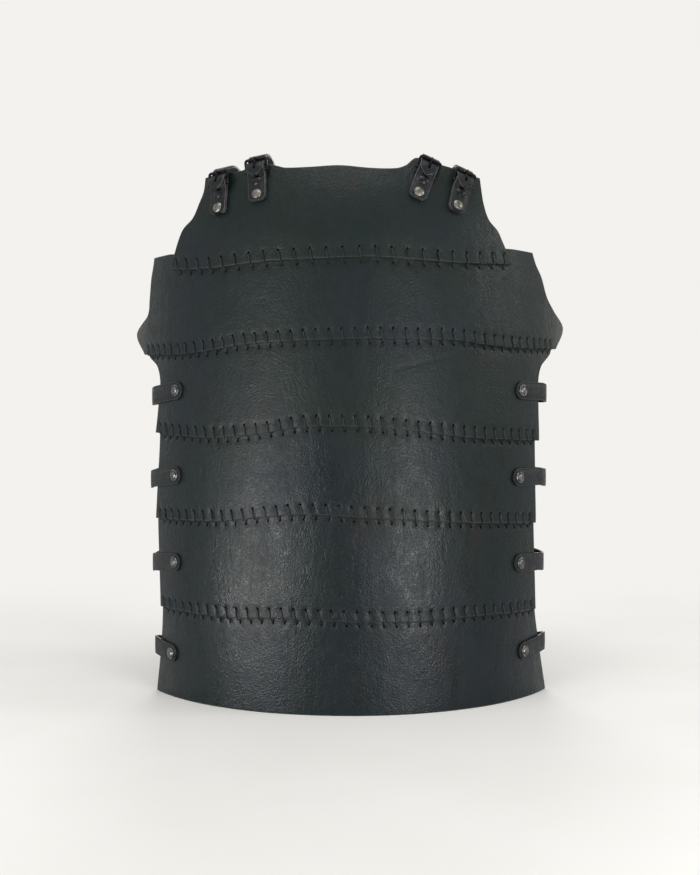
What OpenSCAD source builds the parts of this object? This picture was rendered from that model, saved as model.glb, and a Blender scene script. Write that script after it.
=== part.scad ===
// Laced leather cuirass: a chest plate and a back yoke, each with five lapped
// bands laced below it, joined by buckled straps. Millimetres. The hem stands
// on z = 0, the front faces -Y, and X runs to the right as the front is seen.

/* [Leather] */
// Thickness of the body plates
plate_t = 4; // [3:0.25:5]
// Clearance between two lapped plates
lap_gap = 0.4; // [0.3:0.1:0.8]
// Height of the lap behind each seam
lap = 16; // [15:1:22]
// Thickness of the straps
strap_t = 2.2; // [1.8:0.1:2.6]
// Width of the straps and buckle tabs
strap_w = 18; // [15:0.5:19]
// Thickness of the folded leather of the buckle tabs
tab_t = 2; // [1.6:0.1:2.4]
// Clearance under a strap or a tab
seat_gap = 0.2; // [0.1:0.05:0.4]

/* [Heights] */
// Visible height of the lowest band
band5_h = 90; // [80:1:105]
// Visible height of the fourth band
band4_h = 94; // [85:1:105]
// Visible height of the third band
band3_h = 84; // [75:1:95]
// Visible height of the second band
band2_h = 86; // [80:1:95]
// Visible height of the first band
band1_h = 78; // [72:1:90]
// Height from the first seam to the front neckline
chest_h = 89; // [84:1:96]
// Rise of the back neckline over the front one
back_rise = 6; // [0:1:12]

/* [Torso form] */
// Outer radius of the chest plate at its seam
torso_r = 246; // [242:1:256]
// Depth of a panel's curve in front of the side plane, at its seam
half_depth = 138; // [134:1:142]
// Growth of the radius per millimetre downwards
flare = 0.012; // [0.004:0.002:0.016]
// Profile radius of the chest's backward lean
lean_r = 190; // [170:5:300]

/* [Widths] */
// Half width of the chest at its seam
chest_w = 171; // [165:1:176]
// Half width at the waist
waist_w = 196; // [192:1:199]
// Half width of the back bands
back_w = 192; // [186:1:195]

/* [Lacing] */
// Distance between stitches at the front's chest seam
chest_pitch = 15.4; // [14:0.1:18]
// Distance between stitches at the front's band seams
band_pitch = 12.2; // [11.6:0.1:15]
// Distance between stitches on the back
back_pitch = 15; // [14:0.1:18]
// Width of the square-cut lace
lace_w = 1.7; // [1.3:0.1:1.9]
// Width of the square slits that the lace runs through
lace_slit = 2.4; // [2.3:0.1:2.8]
// Height of the upper lace holes over the seam
hole_up = 9; // [7:0.5:10]
// Depth of the lower lace holes under the seam
hole_down = 3.5; // [3:0.25:5]
// Sideways slant of a stitch
stitch_slant = 2.6; // [1:0.2:4]
// Distance from the last stitch to a plate's side
end_margin = 7; // [6:0.5:12]

/* [Buckles] */
// Diameter of the heel bar
bar_d = 2.6; // [2.2:0.1:3]
// Running clearance round the heel bar
bar_clear = 0.06; // [0.03:0.01:0.1]
// Distance from the heel bar to the far bar
frame_l = 11.5; // [11:0.5:14]
// Thickness of the frame
frame_t = 2.4; // [2:0.1:2.8]
// Side clearance between the strap and the frame
frame_gap = 0.4; // [0.3:0.1:0.8]
// Angle at which a frame lies off its tab
frame_tilt = 12; // [10:1:14]
// Diameter of the prong
prong_d = 2.2; // [1.8:0.1:2.3]
// Length of the tab from the heel bar
tab_l = 31; // [30:0.5:34]
// Distance from the heel bar to the upper tab rivet
rivet_near = 11; // [10.5:0.5:13]
// Distance from the heel bar to the lower tab rivet
rivet_far = 25; // [24:0.5:26]

/* [Rivets] */
// Diameter of a side strap rivet's cap
side_cap_d = 12; // [10:0.5:14]
// Diameter of a tab rivet's cap
tab_cap_d = 10; // [8:0.2:10.4]
// Diameter of a rivet's shank
shank_d = 3.2; // [2.6:0.2:3.6]
// Clearance of a rivet in its hole
shank_clear = 0.3; // [0.2:0.1:0.5]

/* [Strap places] */
// Distance from the back bands' sides to the side buckles' heel bars
side_heel = 20; // [18:1:24]
// Length of the shoulder straps' bend over the shoulder
shoulder_reach = 23; // [18:1:32]
// Angle at which a shoulder strap dips behind its buckle
shoulder_dip = 32; // [20:1:36]

/* [Hidden] */
SIDES = ["left", "right"];
PLACES = ["outer_left", "inner_left", "inner_right", "outer_right"];
SHOULDERS = [for (p = PLACES) str("shoulder_", p)];
FLANKS = [for (k = [2:5]) for (s = SIDES) str("side_", s, "_", k)];
STATIONS = concat(SHOULDERS, FLANKS);
FRONT_PLATES = ["chest_plate", "front_band_1", "front_band_2", "front_band_3",
    "front_band_4", "front_band_5"];
BACK_PLATES = ["back_yoke", "back_band_1", "back_band_2", "back_band_3",
    "back_band_4", "back_band_5"];
FRONT_LACES = [for (s = [1:5]) str("front_lace_", s)];
BACK_LACES = [for (s = [1:5]) str("back_lace_", s)];
STRAPS = [for (n = STATIONS) str(n, "_strap")];
FRAMES = [for (n = STATIONS) str(n, "_frame")];
PRONGS = [for (n = STATIONS) str(n, "_prong")];

leather_color = [0.17, 0.19, 0.2];
strap_color = [0.13, 0.14, 0.15];
lace_color = [0.05, 0.05, 0.05];
frame_color = [0.1, 0.1, 0.11];
rivet_color = [0.5, 0.5, 0.5];
fine = 24;
ring_fn = 180;
past = 1;

// Heights of the seams, from the chest seam down to the hem
hem_z = 0;
seam5_z = band5_h;
seam4_z = seam5_z + band4_h;
seam3_z = seam4_z + band3_h;
seam2_z = seam3_z + band2_h;
seam1_z = seam2_z + band1_h;
neck_z = seam1_z + chest_h;
top_z = neck_z + 14;
lean_z = seam1_z + lap;
SEAM_Z = [seam1_z, seam2_z, seam3_z, seam4_z, seam5_z, hem_z];
BAND_H = [chest_h, band1_h, band2_h, band3_h, band4_h, band5_h];

// Hand-cut lower edges of the front plates: place across, and height off the seam
FRONT_WAVES = [
    [[-181, 0], [-158, -3], [-125, -4], [-95, -2], [-66, -1], [-19, 0], [20, 1],
        [75, -1], [114, -1], [161, 2]],
    [[-214, -4], [-171, -7], [-148, -6], [-126, -4], [-104, -1], [-56, 1],
        [23, 3], [66, 3], [105, 3], [135, 0], [168, -1], [215, 2]],
    [[-200, 1], [-138, -4], [-85, 0], [-45, 6], [13, 6], [60, 2], [118, -4],
        [193, -7]],
    [[-200, -3], [-123, -1], [-79, 4], [-40, 7], [13, 4], [89, -1], [190, -7]],
    [[-196, 0], [-109, -1], [-63, 1], [13, -1], [60, -2], [118, 0], [191, -2]],
    [[-200, 0], [200, 0]]
];
BACK_WAVES = [
    [[-170, 3], [-90, 0], [0, -2], [90, 0], [170, 3]],
    [[-200, 2], [-100, 0], [0, -2], [100, 0], [200, 2]],
    [[-200, 2], [-100, 0], [0, -2], [100, 0], [200, 2]],
    [[-200, 1], [-100, 0], [0, -1], [100, 0], [200, 1]],
    [[-200, 1], [-100, 0], [0, -1], [100, 0], [200, 1]],
    [[-200, 0], [200, 0]]
];

// Sides of the plates: share of the plate's height, and place past the half width
wing = 31;
FRONT_SIDES = [
    [[[-0.2, 14], [0, 10], [0.16, 4], [0.29, 0], [0.43, -6], [0.53, -16],
        [0.7, -23], [0.82, -27], [0.98, -28], [1.2, -28]],
     [[-0.2, -7], [0.02, -10], [0.15, -17], [0.26, -22], [0.37, -27], [0.48, -36],
        [0.65, -41], [0.82, -43], [0.98, -44], [1.2, -44]]],
    [[[-0.2, 14], [-0.05, 18], [0.26, wing], [0.46, 14], [0.68, 11], [0.94, 9],
        [1.12, 6], [1.3, 4]],
     [[-0.2, 10], [0.03, 19], [0.34, wing], [0.52, 17], [0.68, 7], [0.94, -1],
        [1.09, -8], [1.3, -14]]],
    [[[-0.1, 5], [0, 4], [0.3, 0.6], [0.6, -2], [0.8, 2], [0.94, 13], [1.3, 14]],
     [[-0.1, -3], [0, -3], [0.3, -3.6], [0.6, -4], [0.8, 0], [0.98, 13],
        [1.3, 14]]],
    [[[-0.1, 5], [0, 4.7], [0.9, 0], [1.3, 0]],
     [[-0.1, -6], [0, -6], [0.9, -7], [1.3, -7]]],
    [[[-0.1, 0], [0, 0], [0.9, 3.5], [1.3, 3.5]],
     [[-0.1, -5], [0, -5], [0.9, -7.5], [1.3, -7.5]]],
    [[[-0.1, 7], [0, 6], [0.55, 0.4], [0.97, -1.5], [1.3, -1.5]],
     [[-0.1, 11], [0, 9.5], [0.6, 0], [0.98, -5], [1.3, -5]]]
];
BACK_YOKE_SIDE = [[-0.2, 2], [0, 0], [0.16, -6], [0.3, -12], [0.43, -18],
    [0.53, -26], [0.7, -32], [0.82, -35], [0.98, -36], [1.2, -36]];
BACK_BAND_SIDE = [[-0.1, 1], [0, 0], [0.5, -1], [1.3, -1]];

// Upper edges of the chest plate and the back yoke, over the front neckline
CHEST_TOP = [[-160, -3], [-143, -1], [-123, 2], [-114, 0.5], [-104, 1.5], [-97, 4],
    [-82, 6], [-70, 3], [-62, 0.5], [-38, 0], [-10, 1], [19, -1.5], [44, -1],
    [54, 3], [63, 11], [74, 9], [86, 6], [100, 3], [110, -1], [120, -3], [130, -4],
    [150, -6]];
YOKE_TOP = [[-160, -4], [-135, 0], [-114, 3], [-97, 8], [-74, 12],
    [-62, back_rise + 2], [-38, back_rise], [38, back_rise], [62, back_rise + 2],
    [74, 12], [97, 8], [114, 3], [135, 0], [160, -4]];

// Shoulder buckle tabs: the middle's place as a share of the chest's half width,
// its drop under the neckline, and its lean
TABS = [[-0.734, 29.5, 6], [-0.512, 20, 8], [0.389, 20, 24], [0.602, 30, 20]];
// Side strap rivets: band, distance from the band's side and share of its height
RIVETS = [[2, 21.5, 0.5], [2, 21, 0.5], [3, 23, 0.5], [3, 21.5, 0.48],
    [4, 22, 0.51], [4, 19.5, 0.51], [5, 16, 0.49], [5, 21.5, 0.53]];

curve_centre = torso_r - half_depth;
lap_step = plate_t + lap_gap;
bar_r = bar_d / 2;
fold_r = bar_r + bar_clear + tab_t;
tab_top = 2 * tab_t - fold_r;
tab_mid = (rivet_near + rivet_far) / 2;
cap_gap = 0.1;
tab_cap_h = 1.9;
side_cap_h = 2.6;
washer_gap = 0.45;
tab_flat = rivet_near - tab_cap_d / 2 - 3 * cap_gap;
seat = fold_r + seat_gap;
frame_in = strap_w / 2 + frame_gap;
rail_w = 2.4;
frame_out = frame_in + rail_w;
prong_r = prong_d / 2;
prong_ring = 2.6;
slot_w = 3.4;
strap_slot_w = 2.9;
slot_from = -0.8;
slot_to = frame_l - frame_t / 2 - 2.6;
side_dip = 20;
root_dip = 25;
prong_rest = 0.34;
cutter_l = 40;
plate_span = 255;
seam_step = 15;
neck_step = 4;
hole_r = shank_d / 2 + shank_clear;

// Curve through a list of points, read as height over place
function slope_at(p, i) = let (a = max(i - 1, 0), b = min(i + 1, len(p) - 1))
    (p[b].y - p[a].y) / (p[b].x - p[a].x);
function curve(p, x) = let (
        q = min(max(x, p[0].x), p[len(p) - 1].x),
        i = min(len([for (a = p) if (a.x <= q) 1]), len(p) - 1) - 1,
        w = p[i + 1].x - p[i].x,
        t = (q - p[i].x) / w)
    p[i].y * (2 * t^3 - 3 * t^2 + 1) + p[i + 1].y * (3 * t^2 - 2 * t^3)
    + slope_at(p, i) * w * (t^3 - 2 * t^2 + t)
    + slope_at(p, i + 1) * w * (t^3 - t^2);

// Outer surface of a plate: level 0 is the chest, 5 the lowest band
function lean_of(level, z) = level > 0 || z < lean_z ? 0
    : asin((z - lean_z) / lean_r);
function plate_r(level, z) = torso_r - level * lap_step + flare * (seam1_z - z)
    - lean_r * (1 - cos(lean_of(level, z)));
function azimuth(level, x, z) = asin(x / plate_r(level, z));

// Edges of the plates
function nominal_w(level, back) = level == 0 ? chest_w : back ? back_w : waist_w;
function side_list(level, side, back) = back
    ? (level == 0 ? BACK_YOKE_SIDE : BACK_BAND_SIDE) : FRONT_SIDES[level][side];
function side_x(level, side, back, z) = let (
        share = (z - SEAM_Z[level]) / BAND_H[level])
    (side == 0 ? -1 : 1) * (nominal_w(level, back)
        + curve(side_list(level, side, back), share));
function seam_at(level, back, x) = SEAM_Z[level]
    + curve((back ? BACK_WAVES : FRONT_WAVES)[level], x);
function top_at(level, back, x) = level == 0
    ? neck_z + curve(back ? YOKE_TOP : CHEST_TOP, x)
    : seam_at(level - 1, back, x) + lap;

// Stitches of a seam, which joins plates level and level + 1
function seam_side(level, side, back) = let (z = SEAM_Z[level],
        a = azimuth(level, side_x(level, side, back, z), z),
        b = azimuth(level + 1, side_x(level + 1, side, back, z + hole_up), z))
    side == 0 ? max(a, b) : min(a, b);
function arc_len(level, degrees) = degrees * PI / 180
    * plate_r(level, SEAM_Z[level]);
function pitch(level, back) = back ? back_pitch
    : level == 0 ? chest_pitch : band_pitch;
function stitch_count(level, back) = 1 + floor((arc_len(level,
    seam_side(level, 1, back) - seam_side(level, 0, back)) - 2 * end_margin)
    / pitch(level, back));
function stitch_az(level, back, j) = let (
        middle = (seam_side(level, 0, back) + seam_side(level, 1, back)) / 2)
    middle + (j - (stitch_count(level, back) - 1) / 2) * pitch(level, back)
        / arc_len(level, 1);
// Azimuth and height of a stitch's upper (1) or lower (-1) hole
function hole_place(level, back, j, end) = let (
        az = stitch_az(level, back, j)
            - end * stitch_slant / 2 / arc_len(level, 1),
        x = plate_r(level, SEAM_Z[level]) * sin(az))
    [az, seam_at(level, back, x) + (end > 0 ? hole_up : -hole_down)];

function on_curve(r, az, z) = [r * sin(az), curve_centre - r * cos(az), z];
function unit(v) = v / norm(v);

// A station is [origin, outward normal, direction towards the far bar]
function front_station(x, z, lean) = let (
        az = azimuth(0, x, z), b = lean_of(0, z),
        n = [sin(az) * cos(b), -cos(az) * cos(b), sin(b)],
        up = [-sin(az) * sin(b), cos(az) * sin(b), cos(b)],
        across = [cos(az), sin(az), 0] * sign(x),
        v = up * cos(lean) + across * sin(lean))
    [on_curve(plate_r(0, z), az, z) + n * seat + v * tab_mid, n, v];
function flip_y(p) = [p.x, -p.y, p.z];
function side_station(level, side, z) = let (
        s = side == 0 ? -1 : 1,
        r = plate_r(level, z),
        edge = azimuth(level, side_x(level, side, true, z), z),
        az = edge - s * (side_heel + tab_mid) / r * 180 / PI,
        n = [sin(az), -cos(az), 0],
        v = [cos(az), sin(az), 0] * s)
    [flip_y(on_curve(r, az, z) + n * seat + v * tab_mid), flip_y(n), flip_y(v)];
function tab_x(i) = TABS[i].x * chest_w;
function rivet_z(k) = SEAM_Z[RIVETS[k][0]] + RIVETS[k][2] * BAND_H[RIVETS[k][0]];
function rivet_x(k) = side_x(RIVETS[k][0], k % 2, false, rivet_z(k))
    + (k % 2 == 0 ? 1 : -1) * RIVETS[k][1];
function station(i) = i < 4
    ? front_station(tab_x(i), neck_z - TABS[i].y, TABS[i].z)
    : side_station(RIVETS[i - 4][0], (i - 4) % 2, rivet_z(i - 4));
function local(f, v, h) = f[0] + f[2] * v + f[1] * h;

// Puts a piece made with X across, -Y outward and Z towards the far bar in place
module at(f) {
    a = cross(-f[1], f[2]);
    multmatrix([[a.x, -f[1].x, f[2].x, f[0].x], [a.y, -f[1].y, f[2].y, f[0].y],
        [a.z, -f[1].z, f[2].z, f[0].z], [0, 0, 0, 1]]) children();
}

// Ring of leather that a plate is cut from
module shell(level) {
    low = level == 5 ? hem_z : SEAM_Z[level] - 10;
    high = level == 0 ? top_z : SEAM_Z[level - 1] + lap + 10;
    bend = level == 0 ? [for (k = [0:6]) lean_z + (top_z - lean_z) * k / 6]
        : [high];
    outer = concat([[plate_r(level, low), low]],
        [for (z = bend) [plate_r(level, z), z]]);
    inner = [for (k = [len(outer) - 1:-1:0]) outer[k] - [plate_t, 0]];
    translate([0, curve_centre, 0])
        rotate_extrude($fn = ring_fn) polygon(concat(outer, inner));
}

// Front view outline between the lower and upper edges, cut through along Y
module edge_cut(level, back) {
    xs = level == 5 ? [-plate_span, plate_span]
        : [for (x = [-plate_span:seam_step:plate_span]) x];
    ups = [for (x = [-plate_span:(level == 0 ? neck_step : seam_step):plate_span]) x];
    down = [for (x = xs) [x, seam_at(level, back, x)]];
    up = [for (k = [len(ups) - 1:-1:0]) [ups[k], top_at(level, back, ups[k])]];
    translate([0, curve_centre - past, 0]) rotate([90, 0, 0])
        linear_extrude(torso_r + 40) polygon(concat(down, up));
}

// Keeps what lies inside a side, cut square to the leather
module side_cut(level, side, back) {
    s = side == 0 ? -1 : 1;
    turn = s * (level == 0 ? 40 : 57);
    low = SEAM_Z[level] - 12;
    high = level == 0 ? top_z + 10 : SEAM_Z[level - 1] + lap + 12;
    steps = level < 2 ? 20 : 8;
    edge = [for (k = [0:steps]) let (z = low + (high - low) * k / steps,
            r = plate_r(level, min(z, top_z)))
        [r * sin(azimuth(level, side_x(level, side, back, z), min(z, top_z))
            - turn), z]];
    far = -s * 420;
    translate([0, curve_centre, 0]) rotate([0, 0, turn]) rotate([90, 0, 0])
        linear_extrude(2 * torso_r + 80, center = true)
        polygon(concat(edge, [[far, high], [far, low]]));
}

module radial(az, z) {
    translate([0, curve_centre, 0]) rotate([0, 0, az]) translate([0, 0, z])
        rotate([90, 0, 0]) children();
}

// Lace slits of one seam; ends picks the upper (1) or lower (-1) slits
module lace_holes(level, back, ends) {
    for (j = [0:stitch_count(level, back) - 1]) for (end = ends) {
        h = hole_place(level, back, j, end);
        radial(h[0], h[1]) translate([0, 0, plate_r(5, h[1]) - cutter_l / 2])
            cube([lace_slit, lace_slit, 3 * cutter_l], center = true);
    }
}

module rivet_holes(level, back) {
    if (level == 0) for (i = [0:3]) for (v = [rivet_near, rivet_far])
        at(back ? back_end(i) : station(i)) translate([0, 0, -v])
            rotate([90, 0, 0]) cylinder(r = hole_r, h = cutter_l, center = true,
                $fn = fine);
    if (level > 1) for (k = [0:7]) if (RIVETS[k][0] == level) {
        if (back) for (v = [rivet_near, rivet_far])
            at(station(k + 4)) translate([0, 0, -v]) rotate([90, 0, 0])
                cylinder(r = hole_r, h = cutter_l, center = true, $fn = fine);
        else at(rivet_station(k)) rotate([90, 0, 0])
            cylinder(r = hole_r, h = cutter_l, center = true, $fn = fine);
    }
}

// One plate of the front
module front_half(level, back) {
    difference() {
        intersection() {
            shell(level);
            edge_cut(level, back);
            side_cut(level, 0, back);
            side_cut(level, 1, back);
        }
        if (level < 5) lace_holes(level, back, [1]);
        if (level > 0) lace_holes(level - 1, back, [1, -1]);
    }
}

module plate(level, back) {
    color(leather_color) difference() {
        if (back) mirror([0, 1, 0]) front_half(level, back);
        else front_half(level, back);
        rivet_holes(level, back);
    }
}

// Three-cornered section of a lace, flat side out, in half widths
LACE_SECTION = [[1, 0.6], [-1, 0.6], [0, -1]];

// Lace of one seam: in at the upper hole, down behind, out at the next lower hole
function lace_path(level, back) = [
    for (j = [0:stitch_count(level, back) - 1]) let (
            low = hole_place(level, back, j, -1),
            high = hole_place(level, back, j, 1),
            outer = plate_r(level, SEAM_Z[level] - hole_down) + 0.3 + lace_w / 2,
            inner = plate_r(level + 1, SEAM_Z[level] + hole_up) - plate_t - 0.3
                - lace_w / 2)
        each [on_curve(inner, low[0], low[1]), on_curve(outer, low[0], low[1]),
            on_curve(outer, high[0], high[1]), on_curve(inner, high[0], high[1])]];
function bend_ring(p, i, half) = let (
        last = len(p) - 1,
        a = unit(p[min(i + 1, last)] - p[min(i, last - 1)]),
        b = unit(p[max(i, 1)] - p[max(i - 1, 0)]),
        side = i == 0 ? unit(cross(a, unit(cross(p[3] - p[2], a))))
            : i == last ? unit(cross(unit(cross(p[last - 2] - p[last - 3], b)), b))
            : unit(cross(b, a)),
        out = i == 0 ? cross(a, side) : i == last ? cross(b, side) : b - a)
    [for (k = LACE_SECTION) p[i] + side * k.x * half + out * k.y * half];

// Tube or ribbon through rings with as many corners each
module skin(rings) {
    n = len(rings);
    m = len(rings[0]);
    last = m * (n - 1);
    polyhedron([for (r = rings) each r],
        concat([for (k = [1:m - 2]) [0, k, k + 1]],
            [for (i = [0:n - 2], k = [0:m - 1]) let (a = m * i + k,
                    b = m * i + (k + 1) % m)
                each [[a, a + m, b], [b, a + m, b + m]]],
            [for (k = [1:m - 2]) [last, last + k + 1, last + k]]));
}

module lace(level, back) {
    p = lace_path(level, back);
    rings = [for (i = [0:len(p) - 1]) bend_ring(p, i, lace_w / 2)];
    color(lace_color) if (back) mirror([0, 1, 0]) skin(rings);
    else skin(rings);
}

// Strap seen along its width: from the point over the tab to under the far bar
over_fold = fold_r + 0.3 + strap_t / 2;
under_far = frame_l * sin(frame_tilt) - frame_t / 2 / cos(frame_tilt) - 0.35
    - strap_t / 2;
near_edge = frame_l - frame_t / 2;
TIP = [[-6.5, tab_top + 2.6 + strap_t / 2 - 1.2, 3],
    [-3.5, over_fold - 0.7, 11], [-0.5, over_fold, strap_w],
    [2.5, over_fold - 0.35, strap_w], [5.5, over_fold - 1.5, strap_w],
    [near_edge - 3.1, (over_fold + under_far) / 2 - 0.5, strap_w],
    [near_edge - 0.5, under_far - 0.35, strap_w],
    [frame_l + frame_t / 2, under_far, strap_w]];

// Width of a strap's round end at a distance from its rivet
function round_w(s) = s >= 0 ? strap_w
    : 2 * sqrt(max((strap_w / 2)^2 - s^2, 0.01));
ROUND_STEPS = [-0.98, -0.88, -0.7, -0.4, 0];
function bezier(a, b, c, d, t) = a * (1 - t)^3 + 3 * b * t * (1 - t)^2
    + 3 * c * t^2 * (1 - t) + d * t^3;

// A strap is a list of [point, outward normal, width] from its tip to its root
function tip_part(f) = [for (q = TIP) [local(f, q[0], q[1]), f[1], q[2]]];
function rivet_station(k) = let (level = RIVETS[k][0], z = rivet_z(k),
        s = k % 2 == 0 ? -1 : 1, r = plate_r(level, z),
        az = azimuth(level, rivet_x(k), z),
        n = [sin(az), -cos(az), 0], v = [cos(az), sin(az), 0] * s)
    [on_curve(r, az, z) + n * (seat_gap + strap_t / 2), n, v];
function side_strap(k) = let (
        f = station(k + 4), g = rivet_station(k), level = RIVETS[k][0],
        z = rivet_z(k), s = k % 2 == 0 ? -1 : 1,
        r = plate_r(level, z) + seat_gap + strap_t / 2,
        az0 = azimuth(level, rivet_x(k), z),
        az1 = azimuth(level, side_x(level, k % 2, false, z), z) + s * 1.5,
        tail = [for (t = ROUND_STEPS) let (d = t * strap_w / 2)
            [local(g, d, 0), g[1], round_w(d)]],
        start = az0 + s * strap_w / 2 / r * 180 / PI,
        span = [for (q = [0:3]) let (az = start + (az1 - start) * q / 3)
            [on_curve(r + 0.15, az, z), [sin(az), -cos(az), 0], strap_w]],
        a = local(f, frame_l + frame_t / 2, under_far),
        b = span[3][0],
        da = f[2] * cos(side_dip) - f[1] * sin(side_dip),
        db = [cos(az1), sin(az1), 0] * s,
        reach = norm(b - a) * 0.42,
        bridge = [for (q = [1:7]) let (t = q / 8,
                p = bezier(a, a + da * reach, b + db * reach, b, t),
                n = unit(f[1] * (1 - t) + span[3][1] * t))
            [p, n, strap_w]])
    concat(tip_part(f), bridge, [for (q = [3:-1:0]) span[q]],
        [for (q = [4:-1:0]) tail[q]]);

// Seat of a shoulder strap's root on the back yoke
function back_end(i) = let (f = station(i))
    [flip_y(f[0] - f[1] * (fold_r - strap_t / 2)), flip_y(f[1]), flip_y(f[2])];
function shoulder_strap(i) = let (
        f = station(i), g = back_end(i),
        a = local(f, frame_l + frame_t / 2, under_far),
        edge = 20,
        b = local(g, edge, 0.6),
        da = f[2] * cos(shoulder_dip) - f[1] * sin(shoulder_dip),
        db = g[2] * cos(root_dip) - g[1] * sin(root_dip),
        w0 = cross(-f[1], f[2]), w1 = -cross(-g[1], g[2]),
        arch = [for (q = [1:11]) let (t = q / 12,
                c = a + da * shoulder_reach, d = b + db * shoulder_reach,
                p = bezier(a, c, d, b, t),
                along = unit(bezier(a, c, d, b, t + 0.01)
                    - bezier(a, c, d, b, t - 0.01)),
                w = w0 * (1 - t) + w1 * t)
            [p, unit(cross(w, along)), strap_w]],
        root = -rivet_far)
    concat(tip_part(f), arch,
        [[b, g[1], strap_w], [local(g, edge / 2, 0.1), g[1], strap_w],
            [local(g, 0, 0), g[1], strap_w]],
        [for (q = [4:-1:0]) let (t = ROUND_STEPS[q] * strap_w / 2)
            [local(g, root + t, 0), g[1], round_w(t)]]);

function ribbon_rings(list) = [for (i = [0:len(list) - 1]) let (
        last = len(list) - 1,
        along = unit(list[min(i + 1, last)][0] - list[max(i - 1, 0)][0]),
        side = unit(cross(along, list[i][1])),
        n = cross(side, along) * strap_t / 2,
        w = side * list[i][2] / 2,
        p = list[i][0])
    [p - w + n, p + w + n, p + w - n, p - w - n]];

module strap(i) {
    list = i < 4 ? shoulder_strap(i) : side_strap(i - 4);
    color(strap_color) difference() {
        skin(ribbon_rings(list));
        at(station(i)) translate([-strap_slot_w / 2, -8, slot_from])
            cube([strap_slot_w, 8.5, slot_to - slot_from]);
        if (i < 4) for (v = [rivet_near, rivet_far])
            at(back_end(i)) translate([0, 0, -v]) rotate([90, 0, 0])
                cylinder(r = hole_r, h = 8, center = true, $fn = 12);
        else at(rivet_station(i - 4)) rotate([90, 0, 0])
            cylinder(r = hole_r, h = 8, center = true, $fn = 12);
    }
}

// Folded tab that holds a buckle's heel bar, as outline along and outward
function arc(r, from, to, n) = [for (k = [0:n]) let (a = from + (to - from) * k / n)
    [r * cos(a), r * sin(a)]];
module tab(i) {
    corner = 5;
    half = strap_w / 2;
    at(station(i)) difference() {
        intersection() {
            rotate([90, 0, 90]) translate([0, 0, -half])
                linear_extrude(strap_w) mirror([1, 0]) polygon([for (p = concat(
                    [[-tab_l, -fold_r]], arc(fold_r, -90, 110, 20),
                    [[-tab_flat, tab_top], [-tab_l, tab_top]])) [p.y, p.x]]);
            rotate([90, 0, 0]) translate([0, 0, -20]) linear_extrude(40)
                polygon(concat([[-half, 10], [-half, corner - tab_l]],
                    [for (p = arc(corner, 180, 270, 6)) p
                        + [corner - half, corner - tab_l]],
                    [for (p = arc(corner, 270, 360, 6)) p
                        + [half - corner, corner - tab_l]],
                    [[half, 10]]));
        }
        rotate([0, 90, 0]) cylinder(r = bar_r + bar_clear, h = strap_w + 2 * past,
            center = true, $fn = 32);
        translate([-slot_w / 2, -12, -4.6]) cube([slot_w, 24, 11]);
        for (v = [rivet_near, rivet_far]) translate([0, 0, -v])
            rotate([90, 0, 0]) cylinder(r = hole_r, h = 20, center = true,
                $fn = fine);
    }
}
module buckle_tabs() {
    color(strap_color) for (i = [0:len(STATIONS) - 1]) tab(i);
}

// Buckle frame: a U with the far bar, and a round heel bar between its ends
module frame(i) {
    far = frame_l + frame_t / 2;
    corner = 2.2;
    color(frame_color) at(station(i)) rotate([frame_tilt, 0, 0]) union() {
        rotate([90, 0, 0]) translate([0, 0, -frame_t / 2]) linear_extrude(frame_t)
            polygon(concat(
                [[-frame_in, 0], [-frame_out, 0], [-frame_out, far - corner]],
                [for (p = arc(corner, 180, 90, 6)) p
                    + [corner - frame_out, far - corner]],
                [for (p = arc(corner, 90, 0, 6)) p
                    + [frame_out - corner, far - corner]],
                [[frame_out, 0], [frame_in, 0], [frame_in, frame_l - frame_t / 2],
                    [-frame_in, frame_l - frame_t / 2]]));
        for (s = [-1, 1]) translate([s * (frame_in + rail_w / 2), 0, 0])
            rotate([0, 90, 0]) cylinder(r = 1.9, h = rail_w, center = true,
                $fn = 32);
        rotate([0, 90, 0]) cylinder(r = bar_r, h = 2 * frame_in + 1,
            center = true, $fn = 32);
    }
}

// Prong: an eye on the heel bar and a shank that rests on the far bar
module prong(i) {
    start = [1.5, 1.55];
    rise = atan((frame_t / 2 + prong_rest + prong_r - start.y) / (frame_l - start.x));
    shank_l = frame_l - 0.8;
    color(rivet_color) at(station(i)) rotate([frame_tilt, 0, 0]) difference() {
        union() {
            rotate([0, 90, 0]) cylinder(r = prong_ring, h = 2.6, center = true,
                $fn = 32);
            translate([0, -start.y, start.x]) rotate([rise, 0, 0])
                rotate_extrude($fn = 32) polygon([[0, 0], [prong_r, 0],
                    [prong_r, shank_l], [prong_r * 0.5, shank_l + 1.2],
                    [0, shank_l + 1.2]]);
        }
        rotate([0, 90, 0]) cylinder(r = bar_r + bar_clear, h = 4, center = true,
            $fn = 32);
    }
}

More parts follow.
